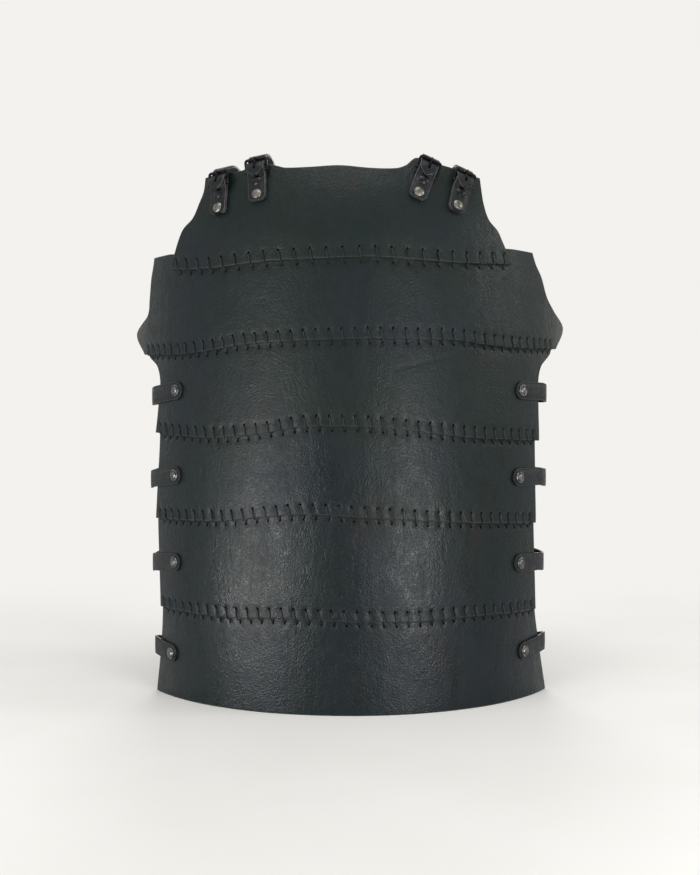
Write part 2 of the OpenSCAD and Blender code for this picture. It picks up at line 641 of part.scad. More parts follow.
// Rivet: cap, shank and washer as one revolved piece, cap outward
module rivet(cap_r, cap_h, grip, rim) {
    washer = grip + washer_gap;
    washer_r = 4;
    washer_t = 0.8;
    rotate([90, 0, 0]) rotate_extrude($fn = 32) polygon([
        [0, cap_h], [cap_r * 0.3, cap_h * 0.96], [cap_r * 0.55, cap_h * 0.8],
        [cap_r * 0.78, cap_h * rim], [cap_r * 0.8, cap_h * 0.55],
        [cap_r * 0.96, cap_h * 0.5], [cap_r, cap_h * 0.25], [cap_r, cap_gap],
        [shank_d / 2, cap_gap], [shank_d / 2, -washer],
        [washer_r, -washer], [washer_r, -washer - washer_t],
        [0, -washer - washer_t]]);
}
module rivets() {
    color(rivet_color) {
        for (i = [0:len(STATIONS) - 1]) for (v = [rivet_near, rivet_far])
            at(station(i)) translate([0, -tab_top, -v])
                rivet(tab_cap_d / 2, tab_cap_h, 2 * tab_t + seat_gap + plate_t, 0.6);
        for (i = [0:3]) for (v = [rivet_near, rivet_far])
            at(back_end(i)) translate([0, -strap_t / 2, -v])
                rivet(tab_cap_d / 2, tab_cap_h, strap_t + seat_gap + plate_t, 0.6);
        for (k = [0:7]) at(rivet_station(k)) translate([0, -strap_t / 2, 0])
            rivet(side_cap_d / 2, side_cap_h, strap_t + seat_gap + plate_t, 0.4);
    }
}

for (k = [0:5]) {
    plate(k, false);
    plate(k, true);
}
for (k = [0:4]) {
    lace(k, false);
    lace(k, true);
}
for (i = [0:len(STATIONS) - 1]) {
    strap(i);
    frame(i);
    prong(i);
}
buckle_tabs();
rivets();
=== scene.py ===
# %% [markdown]
# A cuirass covers the chest and the back. This one is cut from thick oiled hide: a
# chest plate with five lapped bands laced below it, the same again for the back, and
# buckled straps over the shoulders and at the sides. The solid model gives every place
# and size. This lesson dresses it with leather, lace and metal, piece by piece.

# %% Load the solid model
import math
import random

import bmesh
import bpy
from mathutils import Matrix, Vector, noise


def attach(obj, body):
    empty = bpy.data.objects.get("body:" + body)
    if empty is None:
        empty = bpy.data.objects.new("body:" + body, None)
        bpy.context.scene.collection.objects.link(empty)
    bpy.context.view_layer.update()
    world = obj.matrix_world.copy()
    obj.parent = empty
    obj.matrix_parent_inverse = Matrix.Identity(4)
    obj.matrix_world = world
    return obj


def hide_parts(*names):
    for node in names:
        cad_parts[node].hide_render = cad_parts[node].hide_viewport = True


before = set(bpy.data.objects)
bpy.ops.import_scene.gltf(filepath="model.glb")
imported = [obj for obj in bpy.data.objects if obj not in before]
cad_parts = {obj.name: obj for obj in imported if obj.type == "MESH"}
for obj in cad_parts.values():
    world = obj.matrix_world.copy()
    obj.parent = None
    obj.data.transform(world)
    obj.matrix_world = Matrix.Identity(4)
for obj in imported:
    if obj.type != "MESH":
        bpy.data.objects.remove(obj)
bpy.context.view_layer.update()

# %% [markdown]
# The pattern sizes are kept in millimetres, as a leather worker would write them, and
# points are turned into metres at the end. Level 0 is the chest plate or the back yoke,
# and levels 1 to 5 are the bands below it.

# %% Pattern sizes
MM = 0.001
SEAM_Z = [432, 354, 268, 184, 90, 0]
BAND_H = [89, 78, 86, 84, 94, 90]
NECK_Z = SEAM_Z[0] + BAND_H[0]
LAP, PLATE_T, LAP_GAP = 16, 4, 0.4
TORSO_R, CURVE_CENTRE, FLARE = 246, 108, 0.012
LEAN_Z, LEAN_R = SEAM_Z[0] + LAP, 190
CHEST_W, WAIST_W, BACK_W = 171, 196, 192
HOLE_UP, HOLE_DOWN, STITCH_SLANT, END_MARGIN = 9, 3.5, 2.6, 7
CHEST_PITCH, BAND_PITCH, BACK_PITCH = 15.4, 12.2, 15

# %% [markdown]
# The plates were cut by hand, so their edges wander. Each edge is a short list of
# points, and a curve through them is smoother than straight lines and keeps the places
# that matter. The front and the back have their own lists.

# %% Edges of the plates
FRONT_WAVES = [
    [(-181, 0), (-158, -3), (-125, -4), (-95, -2), (-66, -1), (-19, 0), (20, 1),
     (75, -1), (114, -1), (161, 2)],
    [(-214, -4), (-171, -7), (-148, -6), (-126, -4), (-104, -1), (-56, 1), (23, 3),
     (66, 3), (105, 3), (135, 0), (168, -1), (215, 2)],
    [(-200, 1), (-138, -4), (-85, 0), (-45, 6), (13, 6), (60, 2), (118, -4), (193, -7)],
    [(-200, -3), (-123, -1), (-79, 4), (-40, 7), (13, 4), (89, -1), (190, -7)],
    [(-196, 0), (-109, -1), (-63, 1), (13, -1), (60, -2), (118, 0), (191, -2)],
    [(-200, 0), (200, 0)]]
BACK_WAVES = [[(-w, up), (-half, 0), (0, -dip), (half, 0), (w, up)] for w, half, up, dip in (
    (170, 90, 3, 2), (200, 100, 2, 2), (200, 100, 2, 2), (200, 100, 1, 1), (200, 100, 1, 1),
    (200, 100, 0, 0))]
WING = 31
FRONT_SIDES = [
    [[(-0.2, 14), (0, 10), (0.16, 4), (0.29, 0), (0.43, -6), (0.53, -16), (0.7, -23),
      (0.82, -27), (0.98, -28), (1.2, -28)],
     [(-0.2, -7), (0.02, -10), (0.15, -17), (0.26, -22), (0.37, -27), (0.48, -36),
      (0.65, -41), (0.82, -43), (0.98, -44), (1.2, -44)]],
    [[(-0.2, 14), (-0.05, 18), (0.26, WING), (0.46, 14), (0.68, 11), (0.94, 9),
      (1.12, 6), (1.3, 4)],
     [(-0.2, 10), (0.03, 19), (0.34, WING), (0.52, 17), (0.68, 7), (0.94, -1),
      (1.09, -8), (1.3, -14)]],
    [[(-0.1, 5), (0, 4), (0.3, 0.6), (0.6, -2), (0.8, 2), (0.94, 13), (1.3, 14)],
     [(-0.1, -3), (0, -3), (0.3, -3.6), (0.6, -4), (0.8, 0), (0.98, 13), (1.3, 14)]],
    [[(-0.1, 5), (0, 4.7), (0.9, 0), (1.3, 0)],
     [(-0.1, -6), (0, -6), (0.9, -7), (1.3, -7)]],
    [[(-0.1, 0), (0, 0), (0.9, 3.5), (1.3, 3.5)],
     [(-0.1, -5), (0, -5), (0.9, -7.5), (1.3, -7.5)]],
    [[(-0.1, 7), (0, 6), (0.55, 0.4), (0.97, -1.5), (1.3, -1.5)],
     [(-0.1, 11), (0, 9.5), (0.6, 0), (0.98, -5), (1.3, -5)]]]
BACK_YOKE_SIDE = [(-0.2, 2), (0, 0), (0.16, -6), (0.3, -12), (0.43, -18), (0.53, -26),
                  (0.7, -32), (0.82, -35), (0.98, -36), (1.2, -36)]
BACK_BAND_SIDE = [(-0.1, 1), (0, 0), (0.5, -1), (1.3, -1)]
CHEST_TOP = [(-160, -3), (-143, -1), (-123, 2), (-114, 0.5), (-104, 1.5), (-97, 4),
             (-82, 6), (-70, 3), (-62, 0.5), (-38, 0), (-10, 1), (19, -1.5), (44, -1),
             (54, 3), (63, 11), (74, 9), (86, 6), (100, 3), (110, -1), (120, -3),
             (130, -4), (150, -6)]
YOKE_TOP = [(-160, -4), (-135, 0), (-114, 3), (-97, 8), (-74, 12), (-62, 8), (-38, 6),
            (38, 6), (62, 8), (74, 12), (97, 8), (114, 3), (135, 0), (160, -4)]


def hermite(a, b, slope_a, slope_b, w, t):
    """The smooth curve from a to b, which lie w apart, at the share t of the way."""
    return (a * (2 * t**3 - 3 * t**2 + 1) + b * (3 * t**2 - 2 * t**3)
            + slope_a * w * (t**3 - 2 * t**2 + t) + slope_b * w * (t**3 - t**2))


def curve(points, x):
    """Height at x of the smooth curve through the points."""
    def slope(i):
        a, b = points[max(i - 1, 0)], points[min(i + 1, len(points) - 1)]
        return (b[1] - a[1]) / (b[0] - a[0])
    x = min(max(x, points[0][0]), points[-1][0])
    i = min(sum(p[0] <= x for p in points), len(points) - 1) - 1
    (x0, z0), (x1, z1) = points[i:i + 2]
    return hermite(z0, z1, slope(i), slope(i + 1), x1 - x0, (x - x0) / (x1 - x0))


print("edge lists", len(FRONT_WAVES) + len(BACK_WAVES))

# %% [markdown]
# A plate is bent round the body, so a point on it is given by its angle round the torso
# and its height. These helpers turn the pattern's edges into angles and heights, in the
# same way as the solid model does, so both fit to a fraction of a millimetre.

# %% From pattern to torso
def plate_r(level, z):
    lean = math.asin((z - LEAN_Z) / LEAN_R) if level == 0 and z > LEAN_Z else 0
    return (TORSO_R - level * (PLATE_T + LAP_GAP) + FLARE * (SEAM_Z[0] - z)
            - LEAN_R * (1 - math.cos(lean)))


def azimuth(level, x, z):
    return math.asin(x / plate_r(level, z))


def side_x(level, side, back, z):
    half = CHEST_W if level == 0 else BACK_W if back else WAIST_W
    if back:
        points = BACK_BAND_SIDE if level else BACK_YOKE_SIDE
    else:
        points = FRONT_SIDES[level][side]
    return (1 if side else -1) * (half + curve(points, (z - SEAM_Z[level]) / BAND_H[level]))


def seam_at(level, back, x):
    return SEAM_Z[level] + curve((BACK_WAVES if back else FRONT_WAVES)[level], x)


def top_at(level, back, x):
    if level == 0:
        return NECK_Z + curve(YOKE_TOP if back else CHEST_TOP, x)
    return seam_at(level - 1, back, x) + LAP


def on_torso(r, az, z, back=False):
    """Point in metres at an angle and a height; the back is the mirror of the front."""
    y = CURVE_CENTRE - r * math.cos(az)
    return Vector((r * math.sin(az), -y if back else y, z)) * MM


print("chest radius at its seam", plate_r(0, SEAM_Z[0]), "mm")

# %% [markdown]
# The lace holes come in pairs along each seam. Their places are worked out once and used
# three times: for the holes, for the leather that the lace pulls in, and for the lace.

# %% Stitch places
def seam_side(level, side, back):
    z = SEAM_Z[level]
    a = azimuth(level, side_x(level, side, back, z), z)
    b = azimuth(level + 1, side_x(level + 1, side, back, z + HOLE_UP), z)
    return min(a, b) if side else max(a, b)


def stitches(level, back):
    """Lower and upper hole of each stitch of a seam, each as an angle and a height."""
    r = plate_r(level, SEAM_Z[level])
    pitch = BACK_PITCH if back else BAND_PITCH if level else CHEST_PITCH
    left, right = seam_side(level, 0, back), seam_side(level, 1, back)
    count = 1 + math.floor(((right - left) * r - 2 * END_MARGIN) / pitch)
    made = []
    for j in range(count):
        middle = (left + right) / 2 + (j - (count - 1) / 2) * pitch / r
        pair = []
        for end, off in ((-1, -HOLE_DOWN), (1, HOLE_UP)):
            az = middle - end * STITCH_SLANT / 2 / r
            pair.append((az, seam_at(level, back, r * math.sin(az)) + off))
        made.append(pair)
    return made


STITCHES = {(level, back): stitches(level, back) for level in range(5) for back in (False, True)}
print("stitches", {("back" if k[1] else "front", k[0] + 1): len(v) for k, v in STITCHES.items()})

# %% [markdown]
# Every finish here is a small tree of nodes, and so is the light round the stage. A helper
# that makes a node, sets its values and links its inputs keeps each recipe short.

# %% A helper for trees of nodes
class Nodes:
    def __init__(self, tree):
        self.tree = tree

    def fill(self, node, inputs):
        for name, value in inputs.items():
            if isinstance(value, bpy.types.NodeSocket):
                self.tree.links.new(value, node.inputs[name])
            else:
                node.inputs[name].default_value = value

    def node(self, kind, inputs=None, **settings):
        made = self.tree.nodes.new(kind)
        for name, value in settings.items():
            setattr(made, name, value)
        self.fill(made, inputs or {})
        return made

    def math(self, operation, a, b):
        return self.node("ShaderNodeMath", {0: a, 1: b}, operation=operation).outputs[0]

    def show(self, output, factor, a, b):
        """Joins shader a and shader b by a factor, and links them to the tree's output."""
        join = self.node("ShaderNodeMixShader", {0: factor, 1: a.outputs[0], 2: b.outputs[0]})
        self.tree.links.new(join.outputs[0], self.tree.nodes[output].inputs["Surface"])


print("node helper ready")

# %% A helper for finishes
class Finish(Nodes):
    def __init__(self, name):
        self.material = bpy.data.materials.new(name)
        self.material.use_nodes = True
        super().__init__(self.material.node_tree)
        self.shader = self.tree.nodes["Principled BSDF"]
        self.place = self.node("ShaderNodeTexCoord").outputs["Object"]

    def noise(self, scale, detail=3, rough=0.5, place=None):
        return self.node("ShaderNodeTexNoise", {"Vector": place or self.place, "Scale": scale,
                         "Detail": detail, "Roughness": rough}).outputs["Fac"]

    def stretch(self, upright):
        """The places with their height scaled, so that a pattern is drawn out or squeezed."""
        made = self.node("ShaderNodeMapping", {"Vector": self.place, "Scale": (1, 1, upright)})
        return made.outputs["Vector"]

    def between(self, value, low, high, out_low=0, out_high=1):
        return self.node("ShaderNodeMapRange", {"Value": value, "From Min": low, "From Max": high,
                         "To Min": out_low, "To Max": out_high}).outputs["Result"]

    def mix(self, factor, a, b):
        """Mixes two colours, each a socket or three numbers."""
        a, b = ((*c, 1) if isinstance(c, tuple) else c for c in (a, b))
        made = self.node("ShaderNodeMix", {0: factor}, data_type="RGBA")
        self.fill(made, {6: a, 7: b})
        return made.outputs[2]

    def bump(self, height, distance, strength=1.0, under=None):
        inputs = {"Height": height, "Distance": distance, "Strength": strength}
        if under:
            inputs["Normal"] = under
        return self.node("ShaderNodeBump", inputs).outputs["Normal"]

    def done(self, colour, rough, normal, shine=0.5, metallic=0.0):
        self.fill(self.shader, {"Base Color": colour, "Roughness": rough, "Normal": normal,
                                "Specular IOR Level": shine, "Metallic": metallic})
        return self.material


print("finish helper ready")

# %% [markdown]
# Oiled black leather is not one black: it shifts between green, blue and a rusty brown
# where the dye is thin, its grain is a net of fine cells, and handling has left its
# shine uneven. Colour, roughness and grain are driven by noises of different sizes.

# %% Grain leather
def grain_leather(name, green, blue, rust, gloss, grain, shine):
    """Oiled hide; gloss is its roughness at the top and at the hem."""
    f = Finish(name)
    height = f.node("ShaderNodeSeparateXYZ", {"Vector": f.place}).outputs["Z"]
    patches = f.between(f.noise(9, 4, 0.6), 0.42, 0.62)
    bluer_hem = f.between(height, 0.06, 0.3, 0.7, 0)
    colour = f.mix(f.math("ADD", patches, bluer_hem), green, blue)
    rusty = f.between(f.noise(14, 5, 0.65, f.stretch(0.6)), 0.55, 0.7, 0, 0.8)
    colour = f.mix(rusty, colour, rust)
    streaks = f.between(f.noise(70, 4, 0.7, f.stretch(0.16)), 0.5, 0.75, 0, 0.5)
    colour = f.mix(streaks, colour, tuple(0.35 * c for c in green))
    mottle = f.between(f.noise(300, 4, 0.7), 0.36, 0.66)
    colour = f.mix(f.math("MULTIPLY", mottle, 0.4), colour, tuple(2.2 * c for c in green))
    rough = f.between(height, 0.12, 0.42, gloss[1], gloss[0])
    drawn = f.noise(45, 4, 0.65, f.stretch(0.22))
    for part in (f.between(f.noise(60, 5, 0.7), 0.3, 0.72, -0.07, 0.11),
                 f.between(mottle, 0, 1, 0.07, -0.07), f.between(drawn, 0.35, 0.7, -0.05, 0.07)):
        rough = f.math("ADD", rough, part)
    fine = f.node("ShaderNodeTexVoronoi", {"Vector": f.place, "Scale": 820},
                  feature="SMOOTH_F1").outputs["Distance"]
    pebble = f.noise(380, 3, 0.6)
    normal = f.bump(f.math("ADD", fine, f.math("MULTIPLY", pebble, 1.3)), grain)
    normal = f.bump(f.noise(110, 4, 0.6, f.stretch(0.5)), 0.0016, 0.36, normal)
    return f.done(colour, rough, normal, shine)


PLATE_GRAIN = grain_leather(
    "oiled_grain_leather", green=(0.0026, 0.007, 0.0056), blue=(0.0034, 0.006, 0.0098),
    rust=(0.0086, 0.0052, 0.0048), gloss=(0.4, 0.31), grain=0.00022, shine=0.2)
STRAP_GRAIN = grain_leather(
    "buckled_strap_leather", green=(0.0034, 0.0052, 0.0056), blue=(0.0046, 0.006, 0.0095),
    rust=(0.0066, 0.0056, 0.0056), gloss=(0.44, 0.42), grain=0.00018, shine=0.21)
print("leathers", PLATE_GRAIN.name, STRAP_GRAIN.name)

# %% [markdown]
# The inner side of a hide is the flesh side: matt, fibrous and a little lighter, because
# it takes less dye. The cut edge is burnished, shows the layers as fine streaks, and is
# rubbed paler along the straps. The walls of the lace holes and prong slots are painted
# almost black: painted shade for the unlit inside of a deep hole.

# %% Flesh side and cut edge
def flesh_side():
    f = Finish("flesh_side_suede")
    fibres = f.noise(260, 6, 0.75, f.stretch(2.2))
    clouds = f.between(f.noise(20, 4, 0.6), 0.35, 0.68)
    colour = f.mix(clouds, (0.021, 0.018, 0.016), (0.04, 0.033, 0.028))
    colour = f.mix(f.between(fibres, 0.4, 0.75, 0, 0.6), colour, (0.062, 0.052, 0.044))
    normal = f.bump(f.math("ADD", fibres, f.noise(900, 4, 0.7)), 0.0005, 0.8)
    return f.done(colour, f.between(fibres, 0.3, 0.7, 0.8, 0.95), normal, shine=0.2)


def cut_edge(name, dark, light, low):
    """Streaked edge; it shows its light streaks where a noise is above low."""
    f = Finish(name)
    streaks = f.noise(500, 4, 0.6, f.stretch(0.4))
    worn = f.between(f.noise(130, 4, 0.65), low, low + 0.25)
    colour = f.mix(f.between(streaks, 0.35, 0.7), dark, light)
    colour = f.mix(worn, dark, colour)
    rough = f.between(streaks, 0.3, 0.7, 0.45, 0.62)
    return f.done(colour, rough, f.bump(streaks, 0.0003), shine=0.3)


FLESH = flesh_side()
EDGE = cut_edge("burnished_cut_edge", (0.009, 0.0105, 0.0098), (0.034, 0.036, 0.034), 0.3)
RUBBED = cut_edge("rubbed_strap_edge", (0.02, 0.021, 0.022), (0.085, 0.084, 0.08), 0.25)
# Hole and slot walls are painted near black: painted shade for the unlit inside of each hole.
HOLE_SHADE = cut_edge("painted_shade_hole_wall", (0.0015, 0.0015, 0.0015), (0.005, 0.0045, 0.004), 0.4)
print("hide sides", FLESH.name, EDGE.name, RUBBED.name, HOLE_SHADE.name)

# %% [markdown]
# The lace is a thin waxed cord, almost the leather's own colour. The buckles are
# blackened steel, worn through in small spots. The rivet caps are metal with small worn
# patches. The small caps come in a dark copy and a grey copy of one metal: the dark one is
# painted shade, for the upper rivets that lie in the strap's shadow and for the groove of
# the large side caps, and the grey one is painted reflection, for the lower rivets whose
# domes catch the light.

# %% Lace and metals
def waxed_lace():
    f = Finish("waxed_lace")
    strands = f.noise(1500, 3, 0.6)
    colour = f.mix(f.between(strands, 0.35, 0.7), (0.008, 0.011, 0.0105), (0.026, 0.032, 0.031))
    rough = f.between(strands, 0.3, 0.7, 0.4, 0.62)
    return f.done(colour, rough, f.bump(strands, 0.00025), shine=0.22)


def blackened_steel():
    f = Finish("blackened_steel")
    worn = f.between(f.noise(240, 5, 0.7), 0.58, 0.74)
    colour = f.mix(worn, (0.008, 0.008, 0.0095), (0.09, 0.09, 0.095))
    rough = f.between(f.noise(700, 4, 0.6), 0.3, 0.7, 0.28, 0.48)
    return f.done(colour, rough, f.bump(f.noise(1600, 3, 0.6), 0.0001), shine=0.3,
                  metallic=f.between(worn, 0, 1, 0.75, 1))


def cap_metal(name, dark, bright, low, high):
    """Rivet metal, from dark to bright as a noise goes from low to high."""
    f = Finish(name)
    worn = f.between(f.noise(260, 5, 0.7), low, high)
    colour = f.mix(worn, dark, bright)
    rough = f.between(f.noise(900, 4, 0.6), 0.3, 0.7, 0.28, 0.44)
    return f.done(colour, rough, f.bump(f.noise(900, 3, 0.6), 0.0001), metallic=1.0)


LACE, STEEL = waxed_lace(), blackened_steel()
# The dark cap copy is painted shade and the grey copy is painted reflection; the noise patches in
# each are wear.
SIDE_METAL, WORN_SHEEN_CAP_METAL, SHADE_CAP_METAL = (cap_metal(*recipe) for recipe in (
    ("gunmetal_side_cap", (0.045, 0.045, 0.047), (0.19, 0.19, 0.18), 0.4, 0.62),
    ("worn_painted_sheen_tab_cap", (0.035, 0.035, 0.033), (0.19, 0.185, 0.165), 0.34, 0.56),
    ("painted_shade_cap", (0.012, 0.012, 0.013), (0.05, 0.05, 0.052), 0.4, 0.7)))
print("metals", STEEL.name, SIDE_METAL.name, WORN_SHEEN_CAP_METAL.name, SHADE_CAP_METAL.name)

# %% [markdown]
# Small helpers turn a bmesh into a finished object: they put it in the scene, apply a
# cut made with a Boolean modifier, and shade it smooth but keep its sharp edges.

# %% Object helpers
SHARP = math.radians(40)


def to_object(bm, name, materials):
    mesh = bpy.data.meshes.new(name)
    bm.to_mesh(mesh)
    bm.free()
    for material in materials:
        mesh.materials.append(material)
    mesh.shade_smooth()
    mesh.set_sharp_from_angle(angle=SHARP)
    obj = bpy.data.objects.new(name, mesh)
    bpy.context.scene.collection.objects.link(obj)
    return obj


def cut_away(obj, cutter):
    """Takes the cutter's closed shapes out of the object, and removes the cutter."""
    cut = obj.modifiers.new("cut", "BOOLEAN")
    cut.operation, cut.solver, cut.object = "DIFFERENCE", "MANIFOLD", cutter
    bpy.context.view_layer.update()
    shaped = obj.evaluated_get(bpy.context.evaluated_depsgraph_get())
    mesh = bpy.data.meshes.new_from_object(shaped)
    obj.modifiers.clear()
    obj.data = mesh
    mesh.set_sharp_from_angle(angle=SHARP)
    bpy.data.objects.remove(cutter)


def dress(obj, body, slot, *nodes):
    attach(obj, body)
    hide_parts(*nodes)
    print(obj.name, "triangles", sum(len(p.vertices) - 2 for p in obj.data.polygons))


def faces_of(verts):
    return list({face for vert in verts for face in vert.link_faces})


print("object helpers ready")

# %% [markdown]
# Buckle tabs and rivets are placed on the pattern before the leather is bent, because the
# hide lies flat under them. A tab is given by its share of the chest's half width, its
# drop under the neckline and its lean, and a side rivet by its distance from the edge.

# %% Places of the tabs and rivets
TABS = [(-0.734, 29.5, 6), (-0.512, 20, 8), (0.389, 20, 24), (0.602, 30, 20)]
RIVETS = [(2, 21.5, 0.5), (2, 21, 0.5), (3, 23, 0.5), (3, 21.5, 0.48), (4, 22, 0.51),
          (4, 19.5, 0.51), (5, 16, 0.49), (5, 21.5, 0.53)]
SIDE_TAB = 38


def rivet_z(k):
    level, _, share = RIVETS[k]
    return SEAM_Z[level] + share * BAND_H[level]


def rivet_x(k):
    level, inset, _ = RIVETS[k]
    return side_x(level, k % 2, False, rivet_z(k)) + (-inset if k % 2 else inset)


def flat_places(back):
    """Angle and height of each place where hardware presses the hide flat."""
    places = [(azimuth(0, share * CHEST_W, NECK_Z - drop), NECK_Z - drop)
              for share, drop, _ in TABS]
    for k, (level, _, _) in enumerate(RIVETS):
        z = rivet_z(k)
        x = side_x(level, k % 2, True, z) + (-SIDE_TAB if k % 2 else SIDE_TAB)
        places.append((azimuth(level, x if back else rivet_x(k), z), z))
    return places


FLAT_PLACES = {back: flat_places(back) for back in (False, True)}
print("pressed places a side", len(FLAT_PLACES[False]))

# %% [markdown]
# Thick hide never lies perfectly flat. One slow ripple runs through all the plates of a
# side, so lapped plates keep their gap, and it dies away where hardware presses the hide.
# Round each stitch the lace pulls the grain in, and a long crease crosses the second band.

# %% Ripples, puckers and the crease
CREASE, CREASE_DEPTH, CREASE_HALF = ((36, 326), (104, 343)), 0.35, 1.6
PRESSED, FREE = 22, 46
SWELL, RUMPLE = 0.4, 0.16
PUCKER, PUCKER_R, PRESS, PRESS_R = 0.55, 3.1, 0.42, 2.6
PULLED_FROM, PULLED_TO = -12, 26


def calm(az, z, back):
    """0 under the hardware, 1 where the hide is free."""
    least = min(math.hypot((az - a) * TORSO_R, z - h) for a, h in FLAT_PLACES[back])
    t = min(max((least - PRESSED) / (FREE - PRESSED), 0), 1)
    return t * t * (3 - 2 * t)


def ripple(az, z, back):
    seed = 40 if back else 0
    return calm(az, z, back) * (SWELL * noise.noise(Vector((az * 3.2, z / 85, seed)))
                                + RUMPLE * noise.noise(Vector((az * 10, z / 30, seed + 7))))


def crease_depth(az, z):
    (x0, z0), (x1, z1) = CREASE
    x = TORSO_R * math.sin(az)
    t = ((x - x0) * (x1 - x0) + (z - z0) * (z1 - z0)) / ((x1 - x0)**2 + (z1 - z0)**2)
    off = math.hypot(x - x0 - t * (x1 - x0), z - z0 - t * (z1 - z0))
    wander = 1.2 * noise.noise(Vector((x / 14, 3, 3)))
    depth = CREASE_DEPTH * math.exp(-((off + wander) / CREASE_HALF)**2)
    return depth * max(0, min(1, 5 * t, 5 * (1 - t)))


def near_stitch(pairs, az):
    """The few stitches whose angle is near az; they are evenly spaced."""
    first, last = pairs[0][0][0], pairs[-1][0][0]
    j = round((az - first) / (last - first) * (len(pairs) - 1))
    return pairs[max(j - 1, 0):j + 2] if -1 <= j <= len(pairs) else []


def pucker(level, back, az, z):
    """How deep the grain is pulled in at a point of a plate."""
    depth = 0
    r = plate_r(level, z)
    for seam, own in ((level, True), (level - 1, False)):
        if not 0 <= seam < 5 or not PULLED_FROM < z - SEAM_Z[seam] < PULLED_TO:
            continue
        for (az_low, z_low), (az_high, z_high) in near_stitch(STITCHES[seam, back], az):
            a, h = (az_high, z_high) if own else (az_low, z_low)
            depth += PUCKER * math.exp(-(math.hypot((az - a) * r, z - h) / PUCKER_R)**2)
            if own:
                t = min(max((z - z_low) / (z_high - z_low), 0), 1)
                d = (az - az_low - t * (az_high - az_low)) * r
                press = PRESS * math.exp(-(d / PRESS_R)**2)
                depth += press * max(0, min(1, (z_high + 2 - z) / 4))
    return depth


print("ripple at the middle", round(ripple(0, 300, False), 3), "mm")

# %% [markdown]
# A plate starts as a flat grid. Each point of the grid is moved to its place between the
# plate's four edges, bent round the torso. Extruding the sheet inwards gives the hide
# its thickness, a bevel rounds the burnished rim, and the holes are cut last.

# %% Plates
COLUMN, ROW = 1.7, 1.9
HOLE_R, HOLE_OVAL, HOLE_PULL = 1.2, (1.0, 1.55), 0.3
EDGE_WANDER, GRAIN_BEVEL, FLESH_BEVEL = 0.35, 1.1, 0.5
GRAIN_SIDE, FLESH_SIDE, CUT_SIDE, HOLE_WALL = 0, 1, 2, 3
HIDE_FINISHES = [PLATE_GRAIN, FLESH, EDGE, HOLE_SHADE]


def plate_sheet(level, back):
    """Grid of the outer surface; each point keeps its angle and height in a layer."""
    r = plate_r(level, SEAM_Z[level])
    wide = side_x(level, 1, back, SEAM_Z[level]) - side_x(level, 0, back, SEAM_Z[level])
    tall = BAND_H[level] + (LAP if level else 0)
    bm = bmesh.new()
    bmesh.ops.create_grid(bm, x_segments=round(2 * math.asin(wide / 2 / r) * r / COLUMN),
                          y_segments=round(tall / ROW), size=1)
    az_of, z_of = (bm.verts.layers.float.new(n) for n in ("az", "z"))
    seed = 11 * level + (50 if back else 0)
    for vert in bm.verts:
        u, v = (vert.co.x + 1) / 2, (vert.co.y + 1) / 2
        z = SEAM_Z[level] + v * tall
        for _ in range(6):
            left, right = (azimuth(level, side_x(level, s, back, z), z) for s in (0, 1))
            az = left + (right - left) * u
            x = plate_r(level, z) * math.sin(az)
            low, high = seam_at(level, back, x), top_at(level, back, x)
            z = low + (high - low) * v
        if level < 5:
            z += EDGE_WANDER * noise.noise(Vector((x / 7, seed, 0.5))) * (1 - v)
        vert[az_of], vert[z_of] = az, z
        r = plate_r(level, z) + ripple(az, z, back) - pucker(level, back, az, z)
        if level == 2 and not back:
            r -= crease_depth(az, z)
        vert.co = on_torso(r, az, z, back)
    return bm


def thicken(bm, level, back):
    """Extrudes the sheet inwards and rounds the rim of both sides."""
    az_of, z_of = bm.verts.layers.float["az"], bm.verts.layers.float["z"]
    outer = set(bm.faces)
    made = bmesh.ops.extrude_face_region(bm, geom=bm.faces[:], use_keep_orig=True)["geom"]
    inner = {g for g in made if isinstance(g, bmesh.types.BMFace)}
    for vert in (g for g in made if isinstance(g, bmesh.types.BMVert)):
        az, z = vert[az_of], vert[z_of]
        vert.co = on_torso(plate_r(level, z) + ripple(az, z, back) - PLATE_T, az, z, back)
    for face in bm.faces:
        face.material_index = (GRAIN_SIDE if face in outer else FLESH_SIDE if face in inner
                               else CUT_SIDE)
    bmesh.ops.recalc_face_normals(bm, faces=bm.faces[:])
    for side, offset in ((GRAIN_SIDE, GRAIN_BEVEL), (FLESH_SIDE, FLESH_BEVEL)):
        rim = [e for e in bm.edges
               if {f.material_index for f in e.link_faces} == {side, CUT_SIDE}]
        bmesh.ops.bevel(bm, geom=rim, offset=offset * MM, segments=3, profile=0.5,
                        affect="EDGES", material=CUT_SIDE, clamp_overlap=True)


def hole_pins(level, back):
    """One mesh of pins, one through each lace hole of a plate."""
    bm = bmesh.new()
    pins = [(pair[1], HOLE_PULL) for pair in STITCHES.get((level, back), ())]
    for low, high in STITCHES.get((level - 1, back), ()):
        pins += [(low, -HOLE_PULL), (high, 0)]
    for (az, z), pull in pins:
        turn = Matrix.Rotation(az, 4, "Z") @ Matrix.Rotation(math.pi / 2, 4, "X")
        if back:
            turn = Matrix.Scale(-1, 4, (0, 1, 0)) @ turn
        centre = on_torso(plate_r(level, z) - PLATE_T / 2, az, z + pull, back)
        place = Matrix.Translation(centre) @ turn @ Matrix.Diagonal((*HOLE_OVAL, 1, 1))
        bmesh.ops.create_cone(bm, cap_ends=True, segments=10, radius1=HOLE_R * MM,
                              radius2=HOLE_R * MM, depth=PLATE_T * 3 * MM, matrix=place)
    for face in bm.faces:
        face.material_index = HOLE_WALL
    bmesh.ops.recalc_face_normals(bm, faces=bm.faces[:])
    return to_object(bm, "pins", HIDE_FINISHES)


def plate_node(level, back):
    if level:
        return f"{'back' if back else 'front'}_band_{level}"
    return "back_yoke" if back else "chest_plate"


